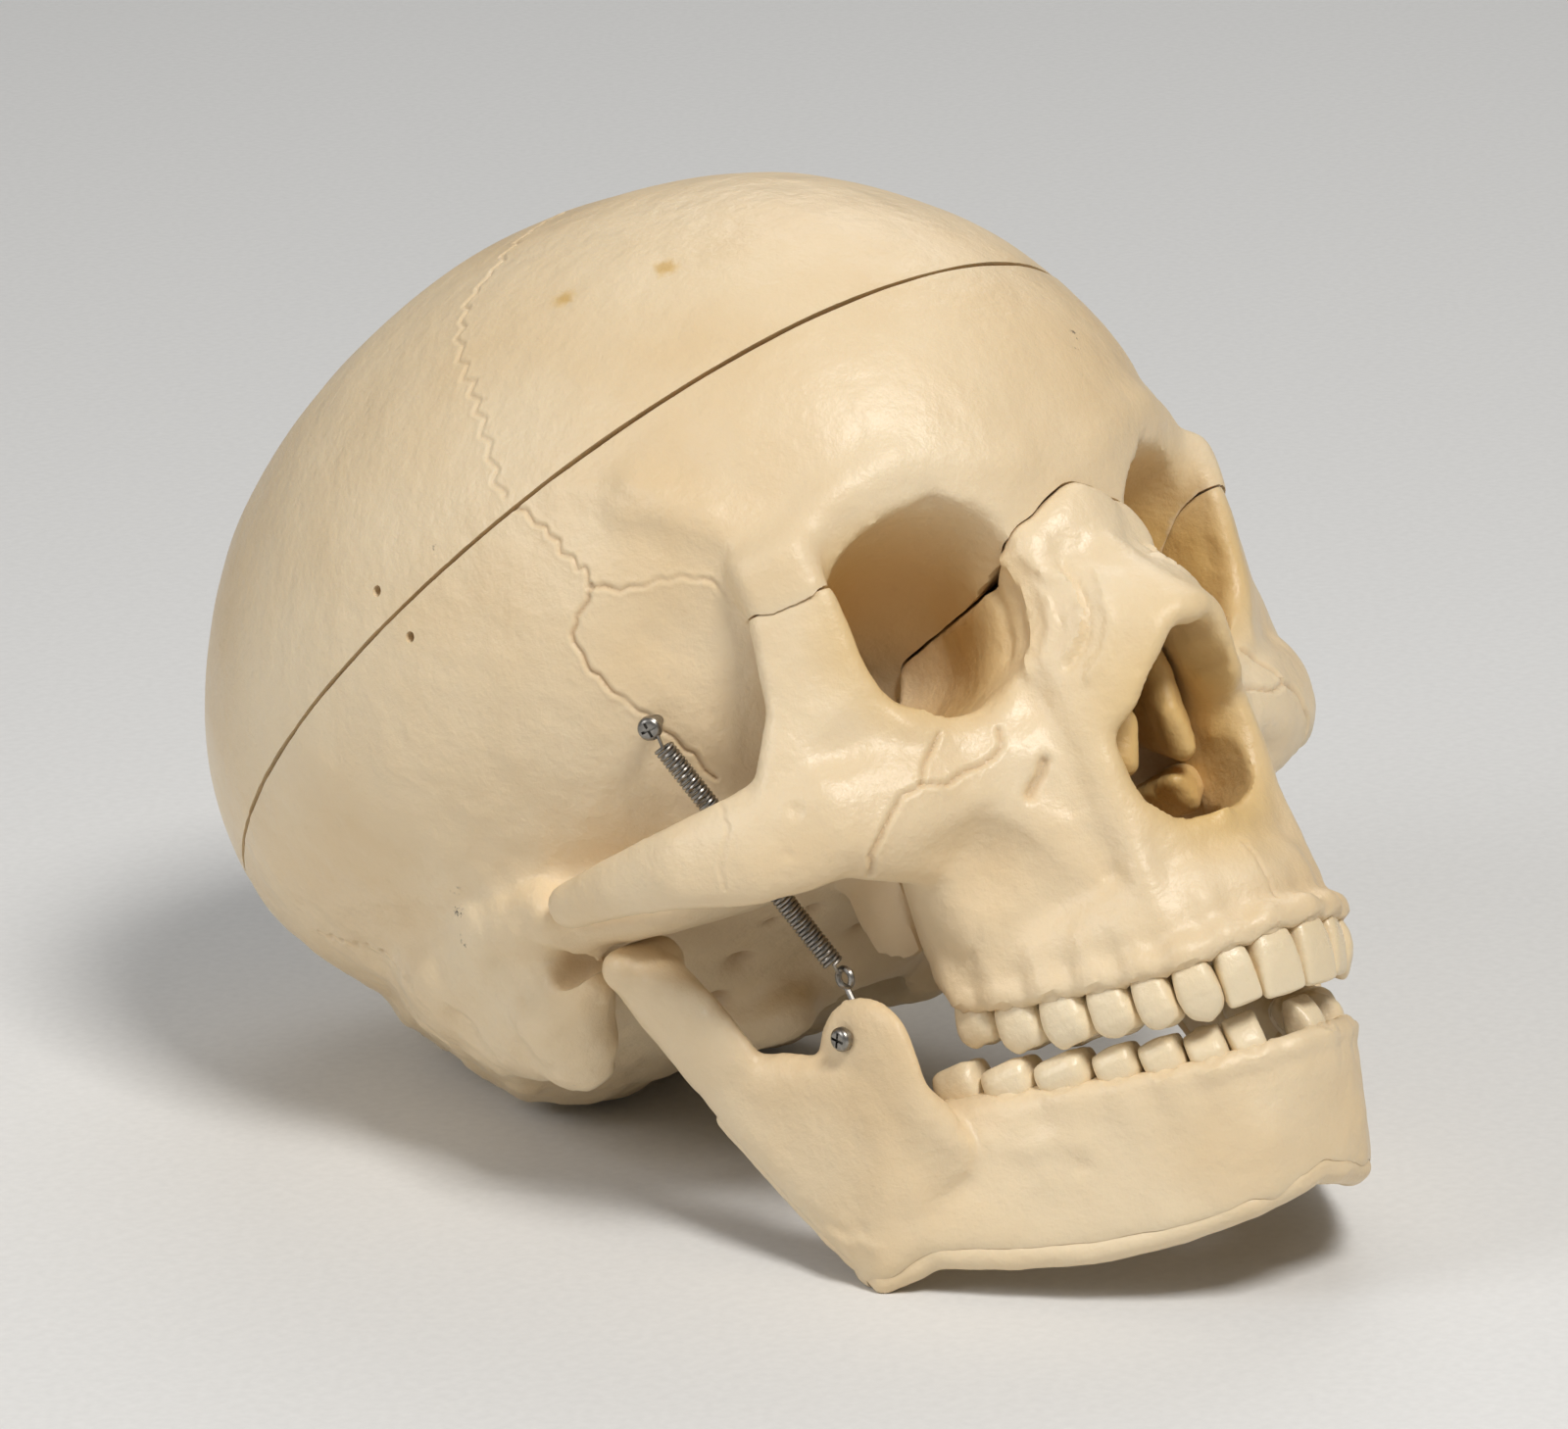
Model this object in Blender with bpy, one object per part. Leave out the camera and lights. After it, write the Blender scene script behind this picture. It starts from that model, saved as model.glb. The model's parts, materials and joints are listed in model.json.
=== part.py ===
"""Anatomical skull model, life size, that opens: skull cap, skull base, face and sprung lower jaw.

Metres, +Z up.  The skull is drawn in its own frame and then stood on the floor.
In the skull's frame the origin lies midway between the ear openings, the face looks along -Y,
the skull's left is +X, and +Z runs to the top of the head.
Places and half sizes in the tables of shares are shares of HALF_WIDTH along X, of HALF_LENGTH
along Y and of HALF_HEIGHT along Z.  A ball in such a table is its place and then its half sizes.
A web is the tight skin round its balls, and a chain is a web for each two neighbours.
"""
import math

import bmesh
import bpy
import numpy as np
from mathutils import Matrix, Vector

# Driving dimensions of the brain case
HALF_WIDTH = 0.0680
HALF_LENGTH = 0.0874
HALF_HEIGHT = 0.0676
SKULL_WALL = 0.0042
CUT_HEIGHT = 0.0472
CUT_SLOPE = math.radians(13.9)

# Clearances between pieces, and how far a cutter runs past what it cuts
SEAT_GAP = 0.0003
EYE_CUP_WALL = 0.0022
EYE_SLIT = 0.0006
CORNER_GAP_SHARE = 0.15
GAP_DIGITS = 5
CUT_OVERRUN = 0.0300

# Openings through the skull base
FORAMEN_LENGTH = 0.0330
FORAMEN_WIDTH = 0.0270
EAR_BORE = 0.0060
EAR_DEPTH = 0.0090

# How deep the teeth sit in their sockets
ROOT_DEPTH = 0.0060

# Springs, screws, eyelets and pins
SPRING_DIAMETER = 0.0032
SPRING_WIRE = 0.0006
SPRING_CURLS = 22
SCREW_HEAD = 0.0036
SCREW_HEAD_HEIGHT = 0.0014
SCREW_SHANK = 0.0020
SCREW_SLOT = 0.0005
EYELET_WIRE = 0.0008
EYELET_BORE = 0.0024
PIN_DIAMETER = 0.0020
PIN_LENGTH = 0.0100

SCREW_LENGTH = 0.0060
SCREW_STAND = 0.0012
SCREW_DOME_SHARE = 0.70
SCREW_CROSS_SHARE = 0.62
SPRING_STAND = 0.0020
EYELET_TURN = math.radians(300)
PIN_RING_SHARE = 0.965

# Finishes: colour and roughness
BONE_FINISH = ((0.80, 0.66, 0.44), 0.42)
TOOTH_FINISH = ((0.84, 0.72, 0.50), 0.30)
STEEL_FINISH = ((0.55, 0.54, 0.52), 0.28)

# Swing of the lower jaw, and the room round its condyles
JAW_OPENING = math.radians(24)
SWING_GAP = 0.0006

# Rest: the flat under the back of the skull, and the range in which the tilt is looked for
REST_FLAT_DEPTH = 0.0004
MIN_PITCH = math.radians(15)
MAX_PITCH = math.radians(50)

# Fineness of the moulded forms, and counts of faces, points, sides and steps
VOXEL = 0.0018
FINE_VOXEL = 0.0014
STRIP_VOXEL = 0.0009
MERGE_REACH = 0.000001
SOFTEN_SHARE = 0.5
SHARP_ANGLE = math.radians(40)
BASE_FACES = 1900
FACE_FACES = 1900
JAW_FACES = 950
STRIP_FACES = 260
HOLLOW_FACES = 240
INSERT_FACES = 80
CURL_POINTS = 8
TOOTH_SIDES = 8
TOOTH_SQUARE_SHARE = 0.75
HALF = 0.5
EYELET_STEPS = 10
SWING_STEPS = 4
PITCH_STEPS = 40

# Places of the openings and of the jaw's hinge
FORAMEN_SHARES = (0, 0.149, -0.296)
EAR_SHARES = (0.853, -0.034, -0.096)
HINGE_SHARES = (0, -0.124, -0.160)
JAW_NAMES = ("lower_", "jaw_")

# Brain case: its middle, how it narrows to the front and flattens below
VAULT_MIDDLE_SHARES = (0, 0.058, 0.546)
VAULT_TAPER_SHARE = 0.040
VAULT_FLAT_SHARE = 0.80

# Hollow of the brain case: the floor over the eye sockets, and the fossae as balls
SHELF_SHARE = 0.610
FOSSA_SHARES = (
    (0.441, -0.252, 0.296, 0.368, 0.263, 0.325),
    (0, 0.435, 0.296, 0.809, 0.503, 0.429),
    (0, 0.092, 0.414, 0.735, 0.572, 0.325),
)

# Forms that are added to the brain case, right and left alike
BASE_CHAIN_SHARES = {
    "brow": (
        (0.103, -0.898, 0.503, 0.088, 0.048, 0.067), (0.228, -0.870, 0.555, 0.081, 0.048, 0.062),
        (0.360, -0.838, 0.577, 0.074, 0.048, 0.062),
        (0.478, -0.783, 0.550, 0.068, 0.048, 0.062), (0.574, -0.728, 0.481, 0.059, 0.046, 0.067),
        (0.609, -0.716, 0.402, 0.056, 0.046, 0.044),
    ),
    "temporal_line": (
        (0.581, -0.709, 0.503, 0.051, 0.040, 0.074), (0.662, -0.641, 0.607, 0.051, 0.046, 0.074),
        (0.735, -0.538, 0.725, 0.044, 0.069, 0.074),
    ),
    "orbit_wall": (
        (0.607, -0.686, 0.399, 0.038, 0.034, 0.044), (0.544, -0.595, 0.325, 0.059, 0.057, 0.178),
        (0.485, -0.503, 0.237, 0.074, 0.057, 0.237),
    ),
    "mastoid": (
        (0.765, 0.023, -0.118, 0.088, 0.092, 0.118), (0.728, 0.092, -0.222, 0.096, 0.092, 0.126),
    ),
    "ear_ridge": (
        (0.824, 0.114, 0.059, 0.059, 0.092, 0.074), (0.838, -0.046, 0.015, 0.059, 0.069, 0.074),
        (0.860, -0.080, 0.012, 0.041, 0.034, 0.059),
    ),
    "jaw_socket": (
        (0.765, -0.092, -0.015, 0.103, 0.080, 0.074), (0.676, -0.240, -0.067, 0.147, 0.057, 0.067),
        (0.529, -0.320, -0.074, 0.118, 0.092, 0.074),
    ),
    "basilar": (
        (0, -0.366, 0.059, 0.176, 0.114, 0.133), (0, -0.069, -0.237, 0.176, 0.069, 0.089),
        (0.118, 0.046, -0.266, 0.103, 0.092, 0.089),
    ),
    "condyle": (
        (0.221, 0.023, -0.325, 0.066, 0.080, 0.067), (0.265, 0.160, -0.281, 0.074, 0.092, 0.074),
    ),
    "pterygoid": (
        (0.221, -0.412, -0.059, 0.074, 0.057, 0.074), (0.235, -0.435, -0.266, 0.029, 0.069, 0.118),
        (0.250, -0.446, -0.399, 0.026, 0.063, 0.074),
    ),
}
BASE_WEB_SHARES = {
    "mastoid_mass": (
        (0.728, 0.103, -0.207, 0.088, 0.092, 0.118), (0.662, 0.275, -0.118, 0.118, 0.114, 0.133),
        (0.809, 0.160, 0.015, 0.066, 0.103, 0.089),
    ),
    "plate_behind_jaw": (
        (0.324, -0.355, -0.178, 0.021, 0.034, 0.044), (0.331, -0.366, -0.311, 0.018, 0.034, 0.036),
        (0.331, -0.441, -0.355, 0.018, 0.027, 0.036),
        (0.294, -0.458, -0.178, 0.021, 0.034, 0.044), (0.250, -0.423, -0.118, 0.029, 0.046, 0.059),
    ),
    "brow_end": (
        (0.609, -0.771, 0.481, 0.038, 0.030, 0.044), (0.685, -0.691, 0.481, 0.038, 0.034, 0.044),
        (0.601, -0.776, 0.348, 0.029, 0.025, 0.022),
        (0.691, -0.689, 0.348, 0.029, 0.025, 0.022),
    ),
    "nape": (
        (0.250, 0.412, -0.141, 0.324, 0.229, 0.185), (0, 0.709, 0.148, 0.500, 0.206, 0.296),
        (0.647, 0.229, 0.059, 0.206, 0.252, 0.237),
        (0.118, 0.046, -0.118, 0.382, 0.160, 0.148),
    ),
}
EYE_SOCKET_SHARES = (
    (0.382, -0.961, 0.259, 0.228, 0.092, 0.244), (0.375, -0.755, 0.259, 0.218, 0.069, 0.225),
    (0.294, -0.595, 0.244, 0.184, 0.069, 0.170),
    (0.199, -0.435, 0.222, 0.074, 0.034, 0.074),
)
FACE_SPACE_SHARES = (
    ((0, -1.259, 0.392), (0.176, -1.259, 0.296), (0.529, -1.259, 0.096), (1.176, -1.259, 0.096)),
    ((0, -0.458, 0.392), (0.176, -0.458, 0.296), (0.529, -0.458, 0.096), (1.176, -0.458, 0.096)),
)

# Face: forms of the moulding, right and left alike
FACE_CHAIN_SHARES = {
    "nose_ridge": (
        (0, -0.921, 0.377, 0.081, 0.043, 0.052), (0, -0.930, 0.281, 0.071, 0.041, 0.059),
        (0, -0.986, 0.178, 0.074, 0.041, 0.052),
        (0, -1.073, 0.071, 0.076, 0.034, 0.038),
    ),
    "nose_flank": (
        (0.125, -0.892, 0.325, 0.059, 0.046, 0.059), (0.184, -0.887, 0.133, 0.059, 0.051, 0.074),
        (0.210, -0.904, -0.089, 0.047, 0.051, 0.089),
    ),
    "nose_base": (
        (0.210, -0.904, -0.118, 0.044, 0.057, 0.089), (0.206, -0.892, -0.266, 0.059, 0.063, 0.089),
        (0.118, -0.915, -0.370, 0.074, 0.051, 0.059),
    ),
    "nose_spine": (
        (0.132, -0.915, -0.377, 0.074, 0.051, 0.059), (0, -0.938, -0.377, 0.059, 0.048, 0.047),
    ),
    "eye_rim": (
        (0.565, -0.748, 0.133, 0.035, 0.032, 0.044), (0.512, -0.762, 0.047, 0.041, 0.037, 0.047),
        (0.426, -0.773, -0.018, 0.047, 0.039, 0.047), (0.331, -0.801, -0.030, 0.044, 0.039, 0.047),
        (0.243, -0.833, 0.030, 0.044, 0.039, 0.050),
        (0.191, -0.847, 0.133, 0.044, 0.037, 0.053), (0.154, -0.852, 0.266, 0.041, 0.034, 0.059),
    ),
    "arch": (
        (0.694, -0.664, -0.067, 0.071, 0.071, 0.141), (0.826, -0.561, -0.068, 0.051, 0.055, 0.123),
        (0.897, -0.452, -0.041, 0.044, 0.057, 0.092),
        (0.916, -0.320, -0.018, 0.038, 0.057, 0.071), (0.904, -0.183, 0, 0.035, 0.046, 0.056),
        (0.882, -0.144, 0.007, 0.038, 0.023, 0.044),
    ),
    "gum_row": (
        (0.374, -0.566, -0.444, 0.074, 0.050, 0.080), (0.353, -0.652, -0.462, 0.074, 0.050, 0.095),
        (0.318, -0.738, -0.482, 0.074, 0.050, 0.107),
        (0.276, -0.818, -0.503, 0.071, 0.050, 0.112), (0.215, -0.892, -0.518, 0.071, 0.050, 0.115),
        (0.124, -0.945, -0.524, 0.068, 0.048, 0.115),
        (0, -0.966, -0.521, 0.065, 0.048, 0.115),
    ),
    "gum_roll": (
        (0.418, -0.577, -0.507, 0.032, 0.025, 0.033), (0.404, -0.659, -0.540, 0.032, 0.025, 0.033),
        (0.375, -0.743, -0.567, 0.032, 0.025, 0.033), (0.334, -0.819, -0.590, 0.032, 0.025, 0.033),
        (0.288, -0.886, -0.607, 0.032, 0.025, 0.033), (0.234, -0.949, -0.618, 0.032, 0.025, 0.033),
        (0.156, -0.992, -0.614, 0.032, 0.025, 0.033), (0.059, -1.018, -0.609, 0.032, 0.025, 0.033),
        (0, -1.021, -0.607, 0.032, 0.025, 0.033),
    ),
    "canine_ridge": (
        (0.199, -0.913, -0.296, 0.047, 0.039, 0.074), (0.218, -0.913, -0.488, 0.044, 0.037, 0.089),
    ),
}
FACE_WEB_SHARES = {
    "eye_wall": (
        (0.585, -0.755, 0.362, 0.026, 0.023, 0.021), (0.565, -0.744, 0.118, 0.026, 0.023, 0.030),
        (0.553, -0.629, 0.355, 0.024, 0.023, 0.024),
        (0.532, -0.629, 0.133, 0.024, 0.023, 0.024),
    ),
    "process_top": (
        (0.596, -0.778, 0.376, 0.028, 0.022, 0.022), (0.687, -0.689, 0.376, 0.028, 0.022, 0.022),
        (0.576, -0.765, 0.178, 0.028, 0.022, 0.030),
        (0.712, -0.670, 0.178, 0.028, 0.022, 0.030),
    ),
    "process_middle": (
        (0.576, -0.765, 0.178, 0.028, 0.022, 0.030), (0.712, -0.670, 0.178, 0.028, 0.022, 0.030),
        (0.526, -0.757, 0.059, 0.032, 0.025, 0.033),
        (0.771, -0.627, 0.030, 0.032, 0.027, 0.033),
    ),
    "process_foot": (
        (0.526, -0.757, 0.059, 0.032, 0.025, 0.033), (0.771, -0.627, 0.030, 0.032, 0.027, 0.033),
        (0.449, -0.771, -0.030, 0.038, 0.032, 0.038),
        (0.697, -0.661, -0.118, 0.053, 0.057, 0.074),
    ),
    "nose_root": (
        (0, -0.931, 0.398, 0.038, 0.029, 0.038), (0.068, -0.918, 0.367, 0.050, 0.037, 0.044),
        (0.141, -0.876, 0.305, 0.044, 0.037, 0.044),
        (0.171, -0.872, 0.207, 0.044, 0.039, 0.059), (0, -0.934, 0.266, 0.059, 0.039, 0.059),
    ),
    "nose_side": (
        (0.066, -0.995, 0.163, 0.035, 0.027, 0.044), (0.081, -1.064, 0.052, 0.026, 0.023, 0.033),
        (0.162, -0.990, -0.067, 0.024, 0.025, 0.036),
        (0.184, -0.881, 0.133, 0.051, 0.046, 0.059), (0.210, -0.904, -0.089, 0.044, 0.051, 0.059),
        (0.132, -0.881, 0.266, 0.044, 0.037, 0.059),
    ),
    "cheek": (
        (0.684, -0.669, -0.074, 0.065, 0.071, 0.133), (0.529, -0.744, -0.059, 0.074, 0.051, 0.089),
        (0.397, -0.772, -0.118, 0.088, 0.057, 0.104),
        (0.581, -0.669, -0.170, 0.059, 0.057, 0.067), (0.434, -0.698, -0.178, 0.103, 0.069, 0.118),
    ),
    "upper_jaw": (
        (0.221, -0.841, -0.089, 0.059, 0.069, 0.104), (0.426, -0.749, -0.089, 0.074, 0.057, 0.074),
        (0.243, -0.818, -0.355, 0.074, 0.063, 0.089),
        (0.390, -0.652, -0.355, 0.074, 0.080, 0.104), (0.375, -0.572, -0.370, 0.066, 0.057, 0.104),
        (0.449, -0.675, -0.148, 0.088, 0.069, 0.074),
    ),
    "palate": (
        (0, -0.892, -0.436, 0.044, 0.046, 0.030), (0.235, -0.824, -0.444, 0.029, 0.034, 0.030),
        (0.294, -0.595, -0.429, 0.029, 0.034, 0.030), (0, -0.572, -0.414, 0.044, 0.034, 0.030),
    ),
    "eye_inner": (
        (0.176, -0.824, 0.118, 0.024, 0.023, 0.024), (0.154, -0.824, 0.259, 0.022, 0.023, 0.024),
        (0.125, -0.503, 0.222, 0.022, 0.018, 0.024),
        (0.176, -0.503, 0.118, 0.024, 0.018, 0.024),
    ),
    "nose_roof": (
        (0, -0.858, 0.303, 0.029, 0.023, 0.024), (0.154, -0.812, 0.251, 0.024, 0.023, 0.024),
        (0, -0.503, 0.281, 0.029, 0.018, 0.024),
        (0.125, -0.503, 0.207, 0.024, 0.018, 0.024),
    ),
    "nose_wall": (
        (0.206, -0.824, 0.089, 0.026, 0.023, 0.030), (0.206, -0.503, 0.089, 0.026, 0.023, 0.030),
        (0.250, -0.526, -0.355, 0.029, 0.023, 0.030), (0.250, -0.801, -0.355, 0.029, 0.023, 0.030),
    ),
}
EYE_CUP_SHARES = (
    (0.371, -0.961, 0.259, 0.194, 0.092, 0.237), (0.371, -0.755, 0.259, 0.191, 0.069, 0.222),
    (0.294, -0.606, 0.244, 0.176, 0.069, 0.170),
    (0.221, -0.515, 0.225, 0.082, 0.027, 0.083),
)
BROW_SEAM_SHARES = ((0.441, -0.973, 0.377), (0.882, -0.515, 0.666))
NOSE_HOLLOW_SHARES = (
    (0, -1.144, -0.015, 0.062, 0.137, 0.053), (0, -1.144, -0.170, 0.166, 0.206, 0.111),
    (0, -1.098, -0.259, 0.132, 0.172, 0.065),
    (0, -0.801, -0.296, 0.176, 0.069, 0.074), (0, -0.526, -0.266, 0.176, 0.114, 0.104),
    (0, -0.526, 0.030, 0.132, 0.114, 0.118), (0, -0.824, 0.030, 0.103, 0.069, 0.089),
)

# Lower jaw: a ramus on each side and a body between gum row and lower border
JAW_CHAIN_SHARES = {
    "neck": (
        (0.721, -0.132, -0.178, 0.088, 0.053, 0.053), (0.706, -0.165, -0.296, 0.047, 0.087, 0.059),
        (0.688, -0.197, -0.429, 0.046, 0.089, 0.067),
    ),
    "condyle": (
        (0.654, -0.124, -0.160, 0.044, 0.048, 0.062), (0.809, -0.124, -0.160, 0.044, 0.048, 0.062),
    ),
    "coronoid": (
        (0.612, -0.478, -0.541, 0.041, 0.117, 0.127), (0.621, -0.462, -0.666, 0.047, 0.137, 0.089),
    ),
    "gum_roll": (
        (0.460, -0.511, -0.738, 0.029, 0.023, 0.030), (0.424, -0.597, -0.765, 0.029, 0.023, 0.030),
        (0.376, -0.688, -0.794, 0.029, 0.023, 0.030), (0.313, -0.765, -0.820, 0.029, 0.023, 0.030),
        (0.262, -0.831, -0.840, 0.029, 0.023, 0.030), (0.203, -0.890, -0.857, 0.029, 0.023, 0.030),
        (0.128, -0.934, -0.864, 0.029, 0.023, 0.030), (0.046, -0.958, -0.865, 0.029, 0.023, 0.030),
        (0, -0.960, -0.865, 0.029, 0.023, 0.030),
    ),
    "chin": ((0.118, -0.826, -1.043, 0.053, 0.046, 0.074), (0, -0.849, -1.028, 0.074, 0.046, 0.089)),
}
JAW_WEB_SHARES = {
    "ramus": (
        (0.681, -0.185, -0.466, 0.044, 0.064, 0.059), (0.666, -0.235, -0.651, 0.044, 0.057, 0.059),
        (0.647, -0.303, -0.828, 0.044, 0.053, 0.059),
        (0.632, -0.343, -0.941, 0.050, 0.057, 0.067), (0.588, -0.412, -0.910, 0.053, 0.046, 0.067),
        (0.559, -0.469, -0.740, 0.050, 0.046, 0.059),
        (0.612, -0.469, -0.621, 0.044, 0.069, 0.059), (0.647, -0.309, -0.533, 0.044, 0.046, 0.074),
    ),
}
JAW_GUM_SHARES = (
    (0.529, -0.463, -0.740, 0.053, 0.046, 0.059), (0.456, -0.515, -0.754, 0.065, 0.046, 0.059),
    (0.403, -0.584, -0.778, 0.065, 0.046, 0.059),
    (0.347, -0.669, -0.814, 0.065, 0.046, 0.059), (0.282, -0.753, -0.852, 0.062, 0.046, 0.059),
    (0.215, -0.826, -0.882, 0.059, 0.046, 0.059),
    (0.147, -0.881, -0.899, 0.053, 0.043, 0.059), (0.074, -0.915, -0.905, 0.053, 0.041, 0.059),
    (0, -0.929, -0.905, 0.053, 0.039, 0.059),
)
JAW_BORDER_SHARES = (
    (0.588, -0.383, -0.917, 0.053, 0.053, 0.074), (0.521, -0.452, -0.954, 0.059, 0.050, 0.074),
    (0.435, -0.533, -1.006, 0.062, 0.050, 0.074),
    (0.353, -0.618, -1.050, 0.062, 0.050, 0.074), (0.271, -0.707, -1.080, 0.062, 0.050, 0.074),
    (0.191, -0.785, -1.092, 0.062, 0.048, 0.074),
    (0.124, -0.831, -1.095, 0.062, 0.046, 0.071), (0.059, -0.847, -1.086, 0.062, 0.046, 0.068),
    (0, -0.851, -1.074, 0.062, 0.046, 0.065),
)
JAW_STRIP_SHARES = (
    (0.676, -0.146, -0.533, 0.024, 0.018, 0.024), (0.659, -0.203, -0.695, 0.026, 0.021, 0.027),
    (0.644, -0.268, -0.865, 0.029, 0.023, 0.030),
    (0.632, -0.332, -0.988, 0.035, 0.030, 0.036), (0.571, -0.412, -0.979, 0.035, 0.030, 0.036),
    (0.479, -0.508, -1.044, 0.035, 0.027, 0.036),
    (0.376, -0.613, -1.104, 0.038, 0.027, 0.033), (0.265, -0.728, -1.133, 0.041, 0.027, 0.033),
    (0.156, -0.819, -1.139, 0.044, 0.030, 0.033),
    (0.059, -0.851, -1.127, 0.044, 0.032, 0.033), (0, -0.856, -1.115, 0.044, 0.034, 0.033),
)
GONION_SHARES = (0.632, -0.332, -0.954, 0.051, 0.057, 0.059)

# Teeth, from the midline back: gum line places on the middle of each crown, crown widths as
# shares of the stretch between the places of the neighbours, crown depths as shares of the
# widths, and heights of the biting edges
UPPER_TOOTH_SHARES = (
    (0.054, -0.995, -0.636), (0.141, -0.971, -0.641), (0.206, -0.929, -0.645), (0.253, -0.871, -0.633),
    (0.293, -0.807, -0.615), (0.326, -0.731, -0.592), (0.353, -0.650, -0.565), (0.371, -0.570, -0.533),
)
LOWER_TOOTH_SHARES = (
    (0.040, -0.934, -0.846), (0.112, -0.913, -0.845), (0.174, -0.871, -0.837), (0.225, -0.812, -0.820),
    (0.275, -0.748, -0.793), (0.328, -0.670, -0.760), (0.374, -0.582, -0.731), (0.410, -0.497, -0.707),
)
UPPER_WIDTH_SHARES = (0.514, 0.431, 0.520, 0.449, 0.484, 0.489, 0.490, 0.458)
LOWER_WIDTH_SHARES = (0.461, 0.462, 0.475, 0.471, 0.449, 0.505, 0.481, 0.461)
UPPER_DEPTH_SHARES = (0.83, 1.12, 1.10, 1.38, 1.25, 1.31, 1.27, 1.29)
LOWER_DEPTH_SHARES = (1.18, 1.16, 1.21, 1.27, 1.25, 1.14, 1.15, 1.15)
UPPER_EDGE_SHARES = (-0.760, -0.752, -0.752, -0.732, -0.712, -0.688, -0.655, -0.605)
LOWER_EDGE_SHARES = (-0.768, -0.765, -0.765, -0.748, -0.728, -0.702, -0.670, -0.632)
MISSING_LOWER = {("right", 1), ("left", 2)}

TOOTH_NAMES = ("central_incisor", "side_incisor", "canine", "first_premolar", "second_premolar",
               "first_molar", "second_molar", "third_molar")
TOOTH_KINDS = ("incisor", "incisor", "canine", "premolar", "premolar", "molar", "molar", "molar")
TOOTH_PROFILE_SHARES = {
    "incisor": ((-1, 0.30, 0.35), (0, 0.72, 0.85), (0.40, 0.92, 0.80), (0.85, 0.98, 0.38),
                (1, 0.92, 0.16)),
    "canine": ((-1, 0.30, 0.35), (0, 0.76, 0.88), (0.40, 0.96, 0.92), (0.75, 0.90, 0.55),
               (1, 0.24, 0.16)),
    "premolar": ((-1, 0.35, 0.40), (0, 0.80, 0.84), (0.45, 0.97, 0.98), (0.85, 0.88, 0.76),
                 (1, 0.50, 0.50)),
    "molar": ((-1, 0.45, 0.45), (0, 0.84, 0.84), (0.45, 0.97, 0.98), (0.85, 0.90, 0.84),
              (1, 0.70, 0.62)),
}

# Inside the nose: the septum stands on the nose floor, the shells lie against its side walls
SEPTUM_SHARES = (
    (0, -0.767, -0.325, 0.013, 0.016, 0.044), (0, -0.595, -0.355, 0.013, 0.016, 0.044),
    (0, -0.595, 0.074, 0.013, 0.016, 0.044), (0, -0.789, 0.044, 0.013, 0.016, 0.030),
)
CONCHA_SHARES = {
    "upper": (
        (0.088, -0.870, -0.050, 0.050, 0.062, 0.083), (0.091, -0.847, -0.139, 0.047, 0.064, 0.065),
        (0.169, -0.755, -0.044, 0.044, 0.057, 0.089),
    ),
    "lower": (
        (0.103, -0.801, -0.251, 0.038, 0.041, 0.036), (0.125, -0.664, -0.237, 0.044, 0.046, 0.044),
        (0.184, -0.755, -0.237, 0.044, 0.057, 0.044),
    ),
}

# Places of the small metal pieces, on the left side
SPRING_SCREW_SHARES = (0.803, -0.453, 0.269)
EYELET_SHARES = (0.579, -0.471, -0.346)
JAW_SCREW_SHARES = (0.653, -0.471, -0.494)
CAP_PIN_SHARES = ((0.930, 0.040), (-0.930, 0.040), (0, 0.955))


def spot(shares):
    """The place that three shares give."""
    return Vector((shares[0] * HALF_WIDTH, shares[1] * HALF_LENGTH, shares[2] * HALF_HEIGHT))


def ball(shares):
    """The middle and the half sizes of a ball."""
    return spot(shares[:3]), spot(shares[3:])


def mirrored(balls):
    """The same balls on the skull's other side."""
    return [(-form[0], *form[1:]) for form in balls]


def unit_sphere(rounds=2):
    """Points spread over a sphere of radius one."""
    sphere = bmesh.new()
    bmesh.ops.create_icosphere(sphere, subdivisions=rounds, radius=1)
    points = [vert.co.copy() for vert in sphere.verts]
    sphere.free()
    return points


def skin(target, points):
    """Add the tight skin round a cloud of points to a mesh."""
    cloud = bmesh.new()
    for point in points:
        cloud.verts.new(point)
    found = bmesh.ops.convex_hull(cloud, input=cloud.verts)
    inner = {item for item in found["geom_interior"] + found["geom_unused"]
             if isinstance(item, bmesh.types.BMVert)}
    bmesh.ops.delete(cloud, geom=list(inner), context="VERTS")
    bmesh.ops.triangulate(cloud, faces=cloud.faces)
    index = {vert: target.verts.new(vert.co) for vert in cloud.verts}
    for face in cloud.faces:
        target.faces.new([index[vert] for vert in face.verts])
    cloud.free()


def ball_points(balls, grow=0.0):
    """The points on the surfaces of balls, each grown by one distance."""
    points = []
    for form in balls:
        middle, halves = ball(form)
        halves = halves + Vector((grow, grow, grow))
        points += [middle + Vector((a * b for a, b in zip(point, halves))) for point in SPHERE]
    return points


def web(target, balls, grow=0.0):
    """One tight skin round all the balls."""
    skin(target, ball_points(balls, grow))


def chain(target, balls, grow=0.0):
    """A skin round each two neighbouring balls."""
    for first, second in zip(balls, balls[1:]):
        web(target, (first, second), grow)


def both_sides(target, make, balls, grow=0.0):
    """Make a form on the left and its mirror image on the right."""
    make(target, balls, grow)
    make(target, mirrored(balls), grow)


def new_object(name, mesh):
    """Link an object for a mesh and return it."""
    item = bpy.data.objects.new(name, mesh)
    bpy.context.collection.objects.link(item)
    return item


def from_form(name, form):
    """Turn an edit mesh into an object, with all faces pointing out."""
    bmesh.ops.recalc_face_normals(form, faces=form.faces)
    mesh = bpy.data.meshes.new(name)
    form.to_mesh(mesh)
    form.free()
    return new_object(name, mesh)


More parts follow.
